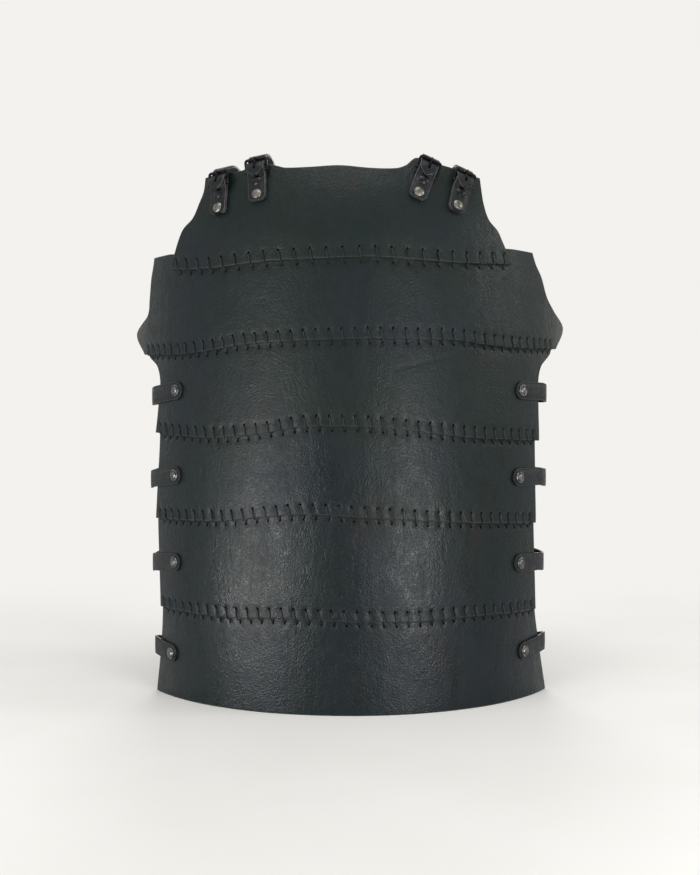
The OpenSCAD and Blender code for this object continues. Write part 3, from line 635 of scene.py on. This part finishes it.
for back in (False, True):
    for level in range(6):
        bm = plate_sheet(level, back)
        thicken(bm, level, back)
        hide = to_object(bm, plate_node(level, back) + "_hide", HIDE_FINISHES)
        cut_away(hide, hole_pins(level, back))
        dress(hide, "cuirass", "body_leather", plate_node(level, back))

# %% [markdown]
# Laces, straps and buckle rails are all one shape: a section carried along a path. A grid
# is rolled into a tube, one column of it for each corner of the section and one row for
# each step of the path, then its seam is merged and its ends are closed.

# %% Sections along a path
def smooth_path(points, step):
    """Points along the smooth curve through some points, about a step apart."""
    last = len(points) - 1
    runs = [(points[i + 1] - points[i]).length for i in range(last)]
    slopes = []
    for i in range(last + 1):
        a, b = max(i - 1, 0), min(i + 1, last)
        slopes.append((points[b] - points[a]) / sum(runs[a:b]))
    made = []
    for i in range(last):
        w = runs[i]
        count = max(1, round(w / step))
        for k in range(count):
            made.append((i + k / count, hermite(points[i], points[i + 1], slopes[i],
                                                slopes[i + 1], w, k / count)))
    made.append((last, points[last]))
    return made


def blend_at(values, where):
    """Value at a place of a list that counts 0, 1, 2 along the path's points."""
    i = min(int(where), len(values) - 2)
    return values[i] + (values[i + 1] - values[i]) * (where - i)


def tube(bm, rings, worn=(), under=()):
    """Skin through rings; the columns in worn take material 1, those in under material 3."""
    across, along = len(rings[0]), len(rings) - 1
    made = bmesh.ops.create_grid(bm, x_segments=across, y_segments=along, size=1)["verts"]
    for face in faces_of(made):
        column = int((face.calc_center_median().x + 1) / 2 * across)
        face.material_index = 1 if column in worn else 3 if column in under else 0
    for vert in made:
        i = round((vert.co.x + 1) / 2 * across) % across
        vert.co = rings[round((vert.co.y + 1) / 2 * along)][i]
    bmesh.ops.remove_doubles(bm, verts=made, dist=1e-7)
    made = [v for v in made if v.is_valid]
    ends = [e for e in {e for v in made for e in v.link_edges} if e.is_boundary]
    bmesh.ops.holes_fill(bm, edges=ends, sides=0)
    bmesh.ops.recalc_face_normals(bm, faces=faces_of(made))


def section_axes(path, k, up):
    """The directions to the side and up of a section that stands across a path's point k."""
    along = (path[min(k + 1, len(path) - 1)] - path[max(k - 1, 0)]).normalized()
    side = along.cross(up).normalized()
    return side, side.cross(along)


def follow(points, section, up, step):
    """Rings of a section carried along a path; up turns gently from ring to ring."""
    path = [p for _, p in smooth_path(points, step)]
    rings = []
    for k, p in enumerate(path):
        side, up = section_axes(path, k, up)
        rings.append([p + side * s + up * h for s, h in section])
    return rings


def oval(wide, tall, corners):
    return [(wide / 2 * math.cos(a), tall / 2 * math.sin(a))
            for a in (2 * math.pi * k / corners for k in range(corners))]


def rounded(half_w, half_h, corner, angles):
    """The four rounded corners of a section, each a list of points."""
    return [[(sx * (half_w - corner) + corner * math.cos(math.radians(start + a)),
              sy * (half_h - corner) + corner * math.sin(math.radians(start + a)))
             for a in angles]
            for sx, sy, start in ((1, -1, 270), (1, 1, 0), (-1, 1, 90), (-1, -1, 180))]


print("path and section helpers ready")

# %% [markdown]
# Each seam is whipped with one long lace. It comes out of a lower hole, climbs over the
# plate's edge, dives into the upper hole through both plates, and runs down behind to
# the next lower hole. Hand tension varies, so each stitch bulges and leans a little.

# %% Laces
LACE_W, LACE_T, KNOT_R = 1.2, 0.85, 1.7


def lace_points(level, back):
    """The lace's path; below is 1 where a point follows the lower of the two plates."""
    rng = random.Random(100 * level + (7 if back else 0))
    pairs, points = STITCHES[level, back], []
    for j, ((az_low, z_low), (az_high, z_high)) in enumerate(pairs):
        edge_z = z_low + HOLE_DOWN
        lift, lean = rng.uniform(0, 0.3), rng.uniform(-0.5, 0.5) / TORSO_R
        for below, out, t, z in (
                (1, -PLATE_T - 0.9, 0, z_low + 0.6), (1, -PLATE_T * 0.6, 0, z_low),
                (1, -0.4, 0, z_low), (1, 0.55 + lift / 2, 0.08, z_low + 0.9),
                (0, -1.9, 0.24, edge_z - 0.75), (0, 0.1, 0.3, edge_z - 0.5),
                (0, 0.45 + lift, 0.42, edge_z + 1.0),
                (0, 0.3 + lift, 0.65, (edge_z + z_high) / 2), (0, 0.25, 0.92, z_high - 1.0),
                (0, -1.0, 1, z_high), (0, -PLATE_T, 1, z_high), (1, -PLATE_T - 0.2, 1, z_high)):
            az = az_low + (az_high - az_low) * t + lean * math.sin(math.pi * t)
            r = plate_r(level + below, z) + ripple(az, z, back) + out
            points.append(on_torso(r, az, z, back))
        if j < len(pairs) - 1:
            (next_az, next_z), _ = pairs[j + 1]
            for t in (0.12, 0.5, 0.88):
                az = az_high + (next_az - az_high) * t
                z = z_high + (next_z - z_high) * t
                r = plate_r(level + 1, z) + ripple(az, z, back) - PLATE_T - 0.95
                points.append(on_torso(r, az, z, back))
    return points


def knot(bm, centre, size):
    """A small overhand knot: a lumpy ball with the lace's turns in it."""
    for vert in bmesh.ops.create_icosphere(bm, subdivisions=2, radius=size)["verts"]:
        turns = 1 + 0.16 * math.sin(3 * math.atan2(vert.co.y, vert.co.x) + vert.co.z / size * 2)
        vert.co = centre + vert.co * turns


LACE_SECTION = [(s * MM, h * MM) for s, h in oval(LACE_W, LACE_T, 8)]
for back in (False, True):
    for level in range(5):
        bm = bmesh.new()
        points = lace_points(level, back)
        tube(bm, follow(points, LACE_SECTION, Vector((1, 0, 0)), 0.8 * MM))
        for end in (points[0], points[-1]):
            knot(bm, end, KNOT_R * MM)
        node = f"{'back' if back else 'front'}_lace_{level + 1}"
        dress(to_object(bm, node + "_cord", [LACE]), "cuirass", "lace_leather", node)

# %% [markdown]
# Twelve buckles hold the straps: four on the chest's shoulders and four at each side of
# the back. A station is where a buckle's heel bar lies, with the direction that looks
# out of the leather and the one that points to the buckle's far bar.

# %% Buckle stations
STRAP_W, STRAP_T, TAB_T, SEAT_GAP = 18, 2.2, 2, 0.2
BAR_R, BAR_CLEAR, TAB_L, RIVET_NEAR, RIVET_FAR = 1.3, 0.06, 31, 11, 25
FRAME_L, FRAME_T, FRAME_GAP, RAIL_W = 11.5, 2.4, 0.4, 2.4
TILT = math.radians(12)
SIDE_HEEL, SHOULDER_REACH = 20, 23
SHOULDER_DIP, ROOT_DIP, SIDE_DIP = math.radians(32), math.radians(25), math.radians(20)
FOLD_R = BAR_R + BAR_CLEAR + TAB_T
TAB_TOP = 2 * TAB_T - FOLD_R
TAB_MID = (RIVET_NEAR + RIVET_FAR) / 2
SEAT = FOLD_R + SEAT_GAP
FRAME_IN = STRAP_W / 2 + FRAME_GAP
STATION_NAMES = ["shoulder_outer_left", "shoulder_inner_left", "shoulder_inner_right",
                 "shoulder_outer_right"]
STATION_NAMES += [f"side_{s}_{k}" for k in range(2, 6) for s in ("left", "right")]


def on_curve(r, az, z):
    return on_torso(r, az, z) / MM


def outward(az):
    return Vector((math.sin(az), -math.cos(az), 0))


def sideways(az):
    return Vector((math.cos(az), math.sin(az), 0))


def flipped(*vectors):
    """The same points or directions on the other side, front for back."""
    return tuple(Vector((v.x, -v.y, v.z)) for v in vectors)


def front_station(x, z, lean):
    az, b = azimuth(0, x, z), math.asin((z - LEAN_Z) / LEAN_R)
    n = Vector((math.sin(az) * math.cos(b), -math.cos(az) * math.cos(b), math.sin(b)))
    up = Vector((-math.sin(az) * math.sin(b), math.cos(az) * math.sin(b), math.cos(b)))
    across = sideways(az) * math.copysign(1, x)
    v = up * math.cos(lean) + across * math.sin(lean)
    return on_curve(plate_r(0, z), az, z) + n * SEAT + v * TAB_MID, n, v


def side_station(k):
    level, s, z = RIVETS[k][0], (1 if k % 2 else -1), rivet_z(k)
    r = plate_r(level, z)
    az = azimuth(level, side_x(level, k % 2, True, z), z) - s * (SIDE_HEEL + TAB_MID) / r
    n, v = outward(az), sideways(az) * s
    return flipped(on_curve(r, az, z) + n * SEAT + v * TAB_MID, n, v)


def back_end(i):
    f = STATIONS[i]
    return flipped(f[0] - f[1] * (FOLD_R - STRAP_T / 2), f[1], f[2])


def rivet_station(k):
    level, x, z = RIVETS[k][0], rivet_x(k), rivet_z(k)
    az = azimuth(level, x, z)
    n, v = outward(az), sideways(az) * math.copysign(1, x)
    return on_curve(plate_r(level, z), az, z) + n * (SEAT_GAP + STRAP_T / 2), n, v


def local(f, v, h):
    """Point of a station at v towards the far bar and h out of the leather."""
    return f[0] + f[2] * v + f[1] * h


def seated(f, v=0, h=0):
    """Matrix that seats a piece made with X across, -Y outward and Z to the far bar."""
    origin, n, up = local(f, v, h), f[1], f[2]
    across = (-n).cross(up)
    turn = Matrix((across, -n, up)).transposed().to_4x4()
    return Matrix.Translation(origin * MM) @ turn @ Matrix.Scale(MM, 4)


STATIONS = [front_station(share * CHEST_W, NECK_Z - drop, math.radians(lean))
            for share, drop, lean in TABS]
STATIONS += [side_station(k) for k in range(8)]
print("first station", [round(c, 2) for c in STATIONS[0][0]], "mm")

# %% [markdown]
# The straps are cut from thinner hide. Their edges are rounded and a crease line runs
# along each of them. A strap is a flat section carried over the shoulder or round the
# side, narrowed to a point at the buckle and to a half circle at its rivet.

# %% Strap sections
def strap_section(wide, thick):
    """Outline of a strap's cross-section, with a crease along both edges of the top."""
    half, up = wide / 2, thick / 2
    crease, step = min(1.6, wide * 0.22), min(0.35, wide * 0.05)
    arcs = rounded(half, up, min(0.6, wide / 4), (0, 45, 90))
    right = [(half - crease + step, up), (half - crease, up - 0.28), (half - crease - step, up),
             (half * 0.3, up + 0.08)]
    left = [(-s, h) for s, h in right[::-1]]
    return arcs[0] + arcs[1] + right + left + arcs[2] + arcs[3] + [(0, -up)]


WORN_COLUMNS, UNDER_COLUMNS = {1, 2, 3, 4, 14, 15, 16, 17}, {19, 20}


def strap_rings(stations, thick, step):
    """Rings for a strap given as a list of point, outward normal and width."""
    points, normals, widths = zip(*stations)
    where, path = zip(*smooth_path(points, step))
    rings = []
    for k, p in enumerate(path):
        side, n = section_axes(path, k, blend_at(normals, where[k]))
        section = strap_section(blend_at(widths, where[k]), thick)
        rings.append([(p + side * s + n * h) * MM for s, h in section])
    return rings


def round_end(f, v):
    """Stations of a half circle round a rivet, from its full width to its tip."""
    return [(local(f, v - STRAP_W / 2 * math.cos(a), 0), f[1], STRAP_W * max(math.sin(a), 0.04))
            for a in (math.radians(d) for d in (90, 72, 54, 38, 24, 12, 3))]


print("corners of a strap's section", len(strap_section(STRAP_W, STRAP_T)))

# %% [markdown]
# The strap's pointed end lies over the tab's fold, dips under the buckle's far bar, and
# goes on over the shoulder or round the side. Bezier curves give the free lengths the
# springy arch of thick leather held at both ends. A side strap turns a little on its
# rivet and sags between the plates.

# %% Strap paths
FOLD_CLEAR, FAR_CLEAR = 0.3, 0.35
OVER_FOLD = FOLD_R + FOLD_CLEAR + STRAP_T / 2
UNDER_FAR = FRAME_L * math.sin(TILT) - FRAME_T / 2 / math.cos(TILT) - FAR_CLEAR - STRAP_T / 2
NEAR_EDGE = FRAME_L - FRAME_T / 2
TIP = [(-6.5, TAB_TOP + 1.4 + STRAP_T / 2, 3), (-3.5, OVER_FOLD - 0.7, 11),
       (-0.5, OVER_FOLD, STRAP_W), (2.5, OVER_FOLD - 0.35, STRAP_W),
       (5.5, OVER_FOLD - 1.5, STRAP_W),
       (NEAR_EDGE - 3.1, (OVER_FOLD + UNDER_FAR) / 2 - 0.5, STRAP_W),
       (NEAR_EDGE - 0.5, UNDER_FAR - 0.35, STRAP_W), (FRAME_L + FRAME_T / 2, UNDER_FAR, STRAP_W)]


def bezier(a, b, c, d, t):
    return a * (1 - t)**3 + b * 3 * t * (1 - t)**2 + c * 3 * t**2 * (1 - t) + d * t**3


STRAP_LEAN = (-0.08, 0, -0.09, 0, -0.07, -0.03, 0.1, 0.09)
STRAP_SAG = 0.13


def strap_tip(f):
    return [(local(f, v, h), f[1], w) for v, h, w in TIP]


def side_strap(k):
    f, g, level, z = STATIONS[k + 4], rivet_station(k), RIVETS[k][0], rivet_z(k)
    s, lean = (1 if k % 2 else -1), STRAP_LEAN[k]
    g = (g[0], g[1], (g[2] + Vector((0, 0, lean))).normalized())
    r = plate_r(level, z) + SEAT_GAP + STRAP_T / 2
    az0 = azimuth(level, rivet_x(k), z)
    az1 = azimuth(level, side_x(level, k % 2, False, z), z) + math.radians(s * 1.5)
    start = az0 + s * STRAP_W / 2 / r
    span = []
    for q in range(4):
        az = start + (az1 - start) * q / 3
        drop = lean * r * abs(az - az0)
        span.append((on_curve(r + 0.15, az, z + drop), outward(az), STRAP_W))
    a, b = local(f, FRAME_L + FRAME_T / 2, UNDER_FAR), span[3][0]
    da = f[2] * math.cos(SIDE_DIP) - f[1] * math.sin(SIDE_DIP)
    db = Vector((math.cos(az1) * s, math.sin(az1) * s, lean - (STRAP_SAG if k < 6 else 0)))
    reach = (b - a).length * (0.3 if k < 2 else 0.42)
    bridge = [(bezier(a, a + da * reach, b + db * reach, b, q / 8),
               (f[1] * (1 - q / 8) + span[3][1] * q / 8).normalized(), STRAP_W)
              for q in range(1, 8)]
    return strap_tip(f) + bridge + span[::-1] + round_end(g, 0)


def shoulder_strap(i):
    f, g = STATIONS[i], back_end(i)
    a, b = local(f, FRAME_L + FRAME_T / 2, UNDER_FAR), local(g, 20, 0.6)
    da, db = (q[2] * math.cos(dip) - q[1] * math.sin(dip)
              for q, dip in ((f, SHOULDER_DIP), (g, ROOT_DIP)))
    w0, w1 = (-f[1]).cross(f[2]), -((-g[1]).cross(g[2]))
    c, d = a + da * SHOULDER_REACH, b + db * SHOULDER_REACH
    arch = []
    for q in range(1, 12):
        t = q / 12
        along = bezier(a, c, d, b, t + 0.01) - bezier(a, c, d, b, t - 0.01)
        arch.append((bezier(a, c, d, b, t), (w0 * (1 - t) + w1 * t).cross(along).normalized(),
                     STRAP_W))
    rest = [(p, g[1], STRAP_W) for p in (b, local(g, 10, 0.1), local(g, 0, 0))]
    return strap_tip(f) + arch + rest + round_end(g, -RIVET_FAR)


print("strap paths ready")

# %% [markdown]
# Each strap needs a slot for the buckle's prong. A slot punch has rounded ends, so the
# cutter is a plain ring of points, pulled into a rod and laid through the leather.

# %% Straps with their slots
SLOT_W, SLOT_FROM, SLOT_TO = 2.9, -0.8, NEAR_EDGE - 2.6
TAB_SLOT_W, TAB_SLOT_FROM, TAB_SLOT_TO = 3.4, -4.6, 6.4
WALL = 2


def slot_pin(bm, wide, low, high, depth_from, depth_to, matrix):
    """Rod with a slot's outline, from one depth to another along the outward side."""
    half = wide / 2
    ring = bmesh.ops.create_circle(bm, cap_ends=True, segments=16, radius=half)
    face = ring["verts"][0].link_faces[0]
    for vert in face.verts:
        up = vert.co.y + (high - half if vert.co.y > 1e-6 else low + half)
        vert.co = Vector((vert.co.x, -depth_from, up))
    made = bmesh.ops.extrude_face_region(bm, geom=[face], use_keep_orig=True)["geom"]
    tops = [g for g in made if isinstance(g, bmesh.types.BMVert)]
    bmesh.ops.translate(bm, verts=tops, vec=(0, depth_from - depth_to, 0))
    rod = list(face.verts) + tops
    walls = faces_of(rod)
    for wall in walls:
        wall.material_index = WALL
    bmesh.ops.recalc_face_normals(bm, faces=walls)
    bmesh.ops.transform(bm, verts=rod, matrix=matrix)


for i, name in enumerate(STATION_NAMES):
    bm = bmesh.new()
    stations = shoulder_strap(i) if i < 4 else side_strap(i - 4)
    tube(bm, strap_rings(stations, STRAP_T, 1.1), worn=WORN_COLUMNS, under=UNDER_COLUMNS)
    # The slot walls take the hole finish, painted near black as painted shade.
    finishes = [STRAP_GRAIN, RUBBED if i < 4 else EDGE, HOLE_SHADE, FLESH]
    strap = to_object(bm, name + "_strap_leather", finishes)
    bm = bmesh.new()
    slot_pin(bm, SLOT_W, SLOT_FROM, SLOT_TO, -0.5, 8, seated(STATIONS[i]))
    cut_away(strap, to_object(bm, "slot_pin", finishes))
    dress(strap, "cuirass", "strap_leather", name + "_strap")

# %% [markdown]
# A buckle tab is a short strip folded round the heel bar, and riveted through both of
# its layers. It is carried along its fold like a strap, and the slot for the prong is
# cut through the fold.

# %% Buckle tabs
TAB_CORNER = 5
TAB_END = [d - TAB_L for d in (0.05, 0.5, 1.4, 3, TAB_CORNER)]


def tab_width(v):
    """Width of a tab, which narrows round the corners at its end."""
    short = max(TAB_CORNER - TAB_L - v, 0)
    return STRAP_W - 2 * (TAB_CORNER - math.sqrt(TAB_CORNER**2 - short**2))


def tab_stations(f):
    """Path of a tab: in under the heel bar, round it, and back over the lower layer."""
    mid, n = FOLD_R - TAB_T / 2, f[1]
    low = [(local(f, v, -mid), -n, tab_width(v)) for v in TAB_END + [-20, -12, -5, -2]]
    turn = []
    for k in range(9):
        a = math.radians(-90 + k * 200 / 8)
        out = n * math.sin(a) + f[2] * math.cos(a)
        turn.append((f[0] + out * mid, out, STRAP_W))
    top_h = TAB_TOP - TAB_T / 2
    top = [(-4, 1.05), (-6.9, 0.1)] + [(v, 0) for v in [-9, -20] + TAB_END[::-1]]
    return low + turn + [(local(f, v, top_h + rise), n, tab_width(v)) for v, rise in top]


bm, pins = bmesh.new(), bmesh.new()
for f in STATIONS:
    tube(bm, strap_rings(tab_stations(f), TAB_T - 0.04, 0.8), worn=WORN_COLUMNS,
         under=UNDER_COLUMNS)
    slot_pin(pins, TAB_SLOT_W, TAB_SLOT_FROM, TAB_SLOT_TO, -7, 7, seated(f))
# The tab slot walls take the hole finish, painted near black as painted shade.
TAB_FINISHES = [STRAP_GRAIN, RUBBED, HOLE_SHADE, FLESH]
tabs = to_object(bm, "folded_buckle_tabs", TAB_FINISHES)
cut_away(tabs, to_object(pins, "tab_pins", TAB_FINISHES))
dress(tabs, "cuirass", "strap_leather", "buckle_tabs")

# %% [markdown]
# The buckle frame is one bent bar: two rails and a far bar, with an eye at each end that
# the heel bar goes through. The frame leans off its tab, and swings on the heel bar, so
# it rides on its own body.

# %% Buckle frames
def swinging(bm, i, kind):
    """Seats a frame or a prong on its station, leaning off the tab, on its own body."""
    bmesh.ops.transform(bm, verts=bm.verts,
                        matrix=seated(STATIONS[i]) @ Matrix.Rotation(TILT, 4, "X"))
    node = f"{STATION_NAMES[i]}_{kind}"
    dress(to_object(bm, node + "_steel", [STEEL]), node, "frame_metal", node)


def spun(bm, profile, steps, matrix):
    """Turns a profile of (radius, height) about Z into a closed solid, then places it."""
    before = set(bm.verts)
    verts = [bm.verts.new((r, 0, z)) for r, z in profile]
    edges = [bm.edges.new(p) for p in zip(verts, verts[1:])]
    bmesh.ops.spin(bm, geom=verts + edges, cent=(0, 0, 0), axis=(0, 0, 1), dvec=(0, 0, 0),
                   angle=2 * math.pi, steps=steps, use_merge=True)
    made = [v for v in bm.verts if v not in before]
    bmesh.ops.remove_doubles(bm, verts=made, dist=1e-5)
    made = [v for v in made if v.is_valid]
    bmesh.ops.recalc_face_normals(bm, faces=faces_of(made))
    bmesh.ops.transform(bm, verts=made, matrix=matrix)


ALONG_X = Matrix.Rotation(math.pi / 2, 4, "Y")
RAIL_X, BEND_R = FRAME_IN + RAIL_W / 2, 2.2


def frame_path():
    """Centre line of the bent bar in the buckle's own plane."""
    left = [(-RAIL_X, 0, 0.4), (-RAIL_X, 0, 4), (-RAIL_X, 0, FRAME_L - BEND_R)]
    for a in (math.radians(d) for d in (22.5, 45, 67.5, 90)):
        left.append((BEND_R * (1 - math.cos(a)) - RAIL_X, 0, FRAME_L - BEND_R * (1 - math.sin(a))))
    left += [(-RAIL_X / 2, 0, FRAME_L)]
    return [Vector(p) for p in left + [(0, 0, FRAME_L)] + [(-x, y, z) for x, y, z in left[::-1]]]


BAR_SECTION = sum(rounded(RAIL_W / 2, FRAME_T / 2, 0.75, (0, 30, 60, 90)), [])
for i in range(len(STATIONS)):
    bm = bmesh.new()
    tube(bm, follow(frame_path(), BAR_SECTION, Vector((0, -1, 0)), 0.9))
    for s in (-1, 1):
        eye = [(0, -1.2), (1.6, -1.2), (1.9, -0.9), (1.9, 0.9), (1.6, 1.2), (0, 1.2)]
        spun(bm, eye, 24, Matrix.Translation((s * RAIL_X, 0, 0)) @ ALONG_X)
    bar = [(0, -FRAME_IN - 0.5), (BAR_R, -FRAME_IN - 0.5), (BAR_R, 0), (BAR_R, FRAME_IN + 0.5),
           (0, FRAME_IN + 0.5)]
    spun(bm, bar, 20, ALONG_X)
    swinging(bm, i, "frame")

# %% [markdown]
# The prong is a rod with its root rolled into an eye round the heel bar. Its point is
# drawn thinner and rests on the far bar.

# %% Prongs
PRONG_R, PRONG_EYE, PRONG_GAP, PRONG_FROM = 1.1, 2.6, 0.34, (-1.55, 1.5)
PRONG_RISE = math.atan((FRAME_T / 2 + PRONG_GAP + PRONG_R + PRONG_FROM[0])
                       / (FRAME_L - PRONG_FROM[1]))
for i in range(len(STATIONS)):
    bm = bmesh.new()
    hole = BAR_R + BAR_CLEAR
    half = [(hole, 1.0), (hole + 0.3, 1.3), (PRONG_EYE - 0.3, 1.3), (PRONG_EYE, 1.0)]
    spun(bm, [(r, -h) for r, h in half] + half[::-1] + [(hole, -1.0)], 24, ALONG_X)
    shank = [(0, 0), (PRONG_R, 0), (PRONG_R, 6.5), (PRONG_R * 0.96, 9), (PRONG_R * 0.8, 10.8),
             (PRONG_R * 0.5, 11.7), (PRONG_R * 0.22, 11.9), (0, 11.9)]
    spun(bm, shank, 16, Matrix.Translation((0, *PRONG_FROM)) @ Matrix.Rotation(PRONG_RISE, 4, "X"))
    swinging(bm, i, "prong")

# %% [markdown]
# The side straps are held by large caps with a raised ring, the tabs and strap roots by
# small domed ones. Each rivet is one spun profile: its cap, the shank through the
# leather, and the washer inside.

# %% Rivets
CAP_GAP, WASHER_GAP, RIVET_STEPS = 0.1, 0.45, 32


def rivet(bm, cap, grip, matrix, groove=(0, 0)):
    """Spins one rivet; the groove between two radii takes the second material, whose dark colour
    is painted shade in the hollow.
    """
    washer = grip + WASHER_GAP
    profile = cap + [(cap[-1][0] - 0.25, CAP_GAP), (1.6, CAP_GAP), (1.6, -washer), (3.7, -washer),
                     (4, -washer - 0.25), (4, -washer - 0.55), (3.7, -washer - 0.8),
                     (1.9, -washer - 0.8), (1.7, -washer - 0.95), (0, -washer - 1.05)]
    place = matrix @ Matrix.Rotation(math.pi / 2, 4, "X")
    spun(bm, profile, RIVET_STEPS, place)
    for face in bm.faces[-RIVET_STEPS * (len(profile) - 1):]:
        middle = place.inverted() @ face.calc_center_median()
        if middle.z > 0 and groove[0] < math.hypot(middle.x, middle.y) < groove[1]:
            face.material_index = 1


SMALL_CAP = [(0, 1.9), (1, 1.86), (2, 1.72), (2.9, 1.48), (3.7, 1.15), (4.3, 0.82),
             (4.75, 0.52), (5, 0.25)]
SIDE_CAP = [(0, 2.6), (0.9, 2.55), (1.9, 2.4), (2.8, 2.12), (3.5, 1.7), (3.9, 1.3), (4.15, 1.12),
            (4.45, 1.16), (4.9, 1.34), (5.3, 1.34), (5.65, 1.15), (5.9, 0.8), (6, 0.4)]
TAB_GRIP, STRAP_GRIP = 2 * TAB_T + SEAT_GAP + PLATE_T, STRAP_T + SEAT_GAP + PLATE_T
# The upper rivets take the dark copy, as painted shade under the strap; the lower ones take the
# grey copy, as painted reflection on their domes.
for v, name, metal in ((RIVET_NEAR, "upper_tab_rivets", SHADE_CAP_METAL),
                       (RIVET_FAR, "lower_tab_rivets", WORN_SHEEN_CAP_METAL)):
    bm = bmesh.new()
    for f in STATIONS:
        rivet(bm, SMALL_CAP, TAB_GRIP, seated(f, -v, TAB_TOP))
    for i in range(4):
        rivet(bm, SMALL_CAP, STRAP_GRIP, seated(back_end(i), -v, STRAP_T / 2))
    dress(to_object(bm, name, [metal]), "cuirass", "rivet_metal", "rivets")
bm = bmesh.new()
for k in range(8):
    # The groove round each large cap takes the dark copy: painted shade in the hollow.
    rivet(bm, SIDE_CAP, STRAP_GRIP, seated(rivet_station(k), 0, STRAP_T / 2), (3.7, 4.6))
dress(to_object(bm, "side_strap_rivets", [SIDE_METAL, SHADE_CAP_METAL]), "cuirass", "rivet_metal",
      "rivets")

# %% [markdown]
# The stage is plain: a pale floor that keeps the soft shadow and fades into a pale
# backdrop, which the camera and reflections see, and an even dome of light round it all.

# %% Floor and backdrop
BACKDROP = (0.9, 0.885, 0.855, 1)
bm = bmesh.new()
bmesh.ops.create_grid(bm, x_segments=1, y_segments=1, size=6)
floor = to_object(bm, "pale_floor", [])
f = Finish("pale_paper")
radius = f.node("ShaderNodeVectorMath", {0: f.place}, operation="LENGTH").outputs["Value"]
far = f.between(radius, 0.42, 1.15)
far.node.interpolation_type = "SMOOTHSTEP"
paper = f.mix(f.between(f.noise(5, 4), 0.3, 0.7), (0.83, 0.82, 0.79), (0.87, 0.855, 0.83))
f.fill(f.shader, {"Base Color": paper, "Roughness": 0.9, "Specular IOR Level": 0.1})
glow = f.node("ShaderNodeEmission", {"Color": BACKDROP, "Strength": 1.0})
seen = f.node("ShaderNodeLightPath").outputs["Is Camera Ray"]
f.show("Material Output", f.math("MULTIPLY", far, seen), f.shader, glow)
floor.data.materials.append(f.material)

world = bpy.data.worlds.new("pale_studio")
bpy.context.scene.world = world
world.use_nodes = True
dome = Nodes(world.node_tree)
sky = dome.tree.nodes["Background"]
dome.fill(sky, {"Color": (1, 0.99, 0.97, 1), "Strength": 0.44})
drop = dome.node("ShaderNodeBackground", {"Color": BACKDROP, "Strength": 1.0})
rays = dome.node("ShaderNodeLightPath").outputs
seen = dome.math("MAXIMUM", rays["Is Camera Ray"], rays["Is Glossy Ray"])
seen = dome.math("MAXIMUM", seen, rays["Is Transmission Ray"])
dome.show("World Output", seen, sky, drop)
print("floor and backdrop ready")

# %% [markdown]
# Soft boxes stand low, left and right of the front. On a round black torso each shows as
# an upright sheen: its angle decides where the sheen falls, and its height which bands
# catch it, so a small one near the floor on each side serves the lowest band. One more
# lights the right edge, a large one overhead lights the floor, and one stands behind.

# %% Lamps
def softbox(name, azimuth_deg, height, distance, wide, tall, power, aim_z=0.15):
    """Area lamp of some watts that stands at an angle round the torso and looks at it."""
    lamp = bpy.data.lights.new(name, "AREA")
    lamp.shape, lamp.size, lamp.size_y, lamp.energy = "RECTANGLE", wide, tall, power
    obj = bpy.data.objects.new(name, lamp)
    a = math.radians(azimuth_deg)
    obj.location = (distance * math.sin(a), -distance * math.cos(a), height)
    aim = Vector((0, 0, aim_z)) - obj.location
    obj.rotation_euler = aim.to_track_quat("-Z", "Y").to_euler()
    obj.visible_camera = False
    bpy.context.scene.collection.objects.link(obj)


for place, values in {"left": (-38, 0.13, 1.5, 0.36, 0.24, 7.4),
                      "left_low": (-56, 0.065, 0.95, 0.2, 0.12, 2.5, 0.05),
                      "right": (28, 0.16, 1.5, 0.5, 0.3, 6.5),
                      "right_low": (34, 0.065, 0.95, 0.3, 0.12, 1.4, 0.05),
                      "side": (80, 0.8, 1.4, 0.3, 0.26, 4, 0.45),
                      "back": (180, 0.7, 2.6, 1.3, 1.1, 36),
                      "top": (0, 2.4, 0.8, 1.6, 1.2, 24)}.items():
    softbox(place + "_softbox", *values)
print("lamps ready")

# %% [markdown]
# The photograph was taken from the front, level with the middle of the torso. A 50 mm
# lens a little over a metre and a quarter away gives the same framing.

# %% Camera
lens = bpy.data.cameras.new("photo_camera")
lens.lens, lens.sensor_width, lens.sensor_fit = 50, 36, "AUTO"
camera = bpy.data.objects.new("photo_camera", lens)
camera.location = (0, -1.272, 0.264)
camera.rotation_euler = (math.pi / 2, 0, 0)
bpy.context.scene.collection.objects.link(camera)
bpy.context.scene.camera = camera
bpy.context.scene.view_settings.view_transform = "Standard"
print("camera ready")
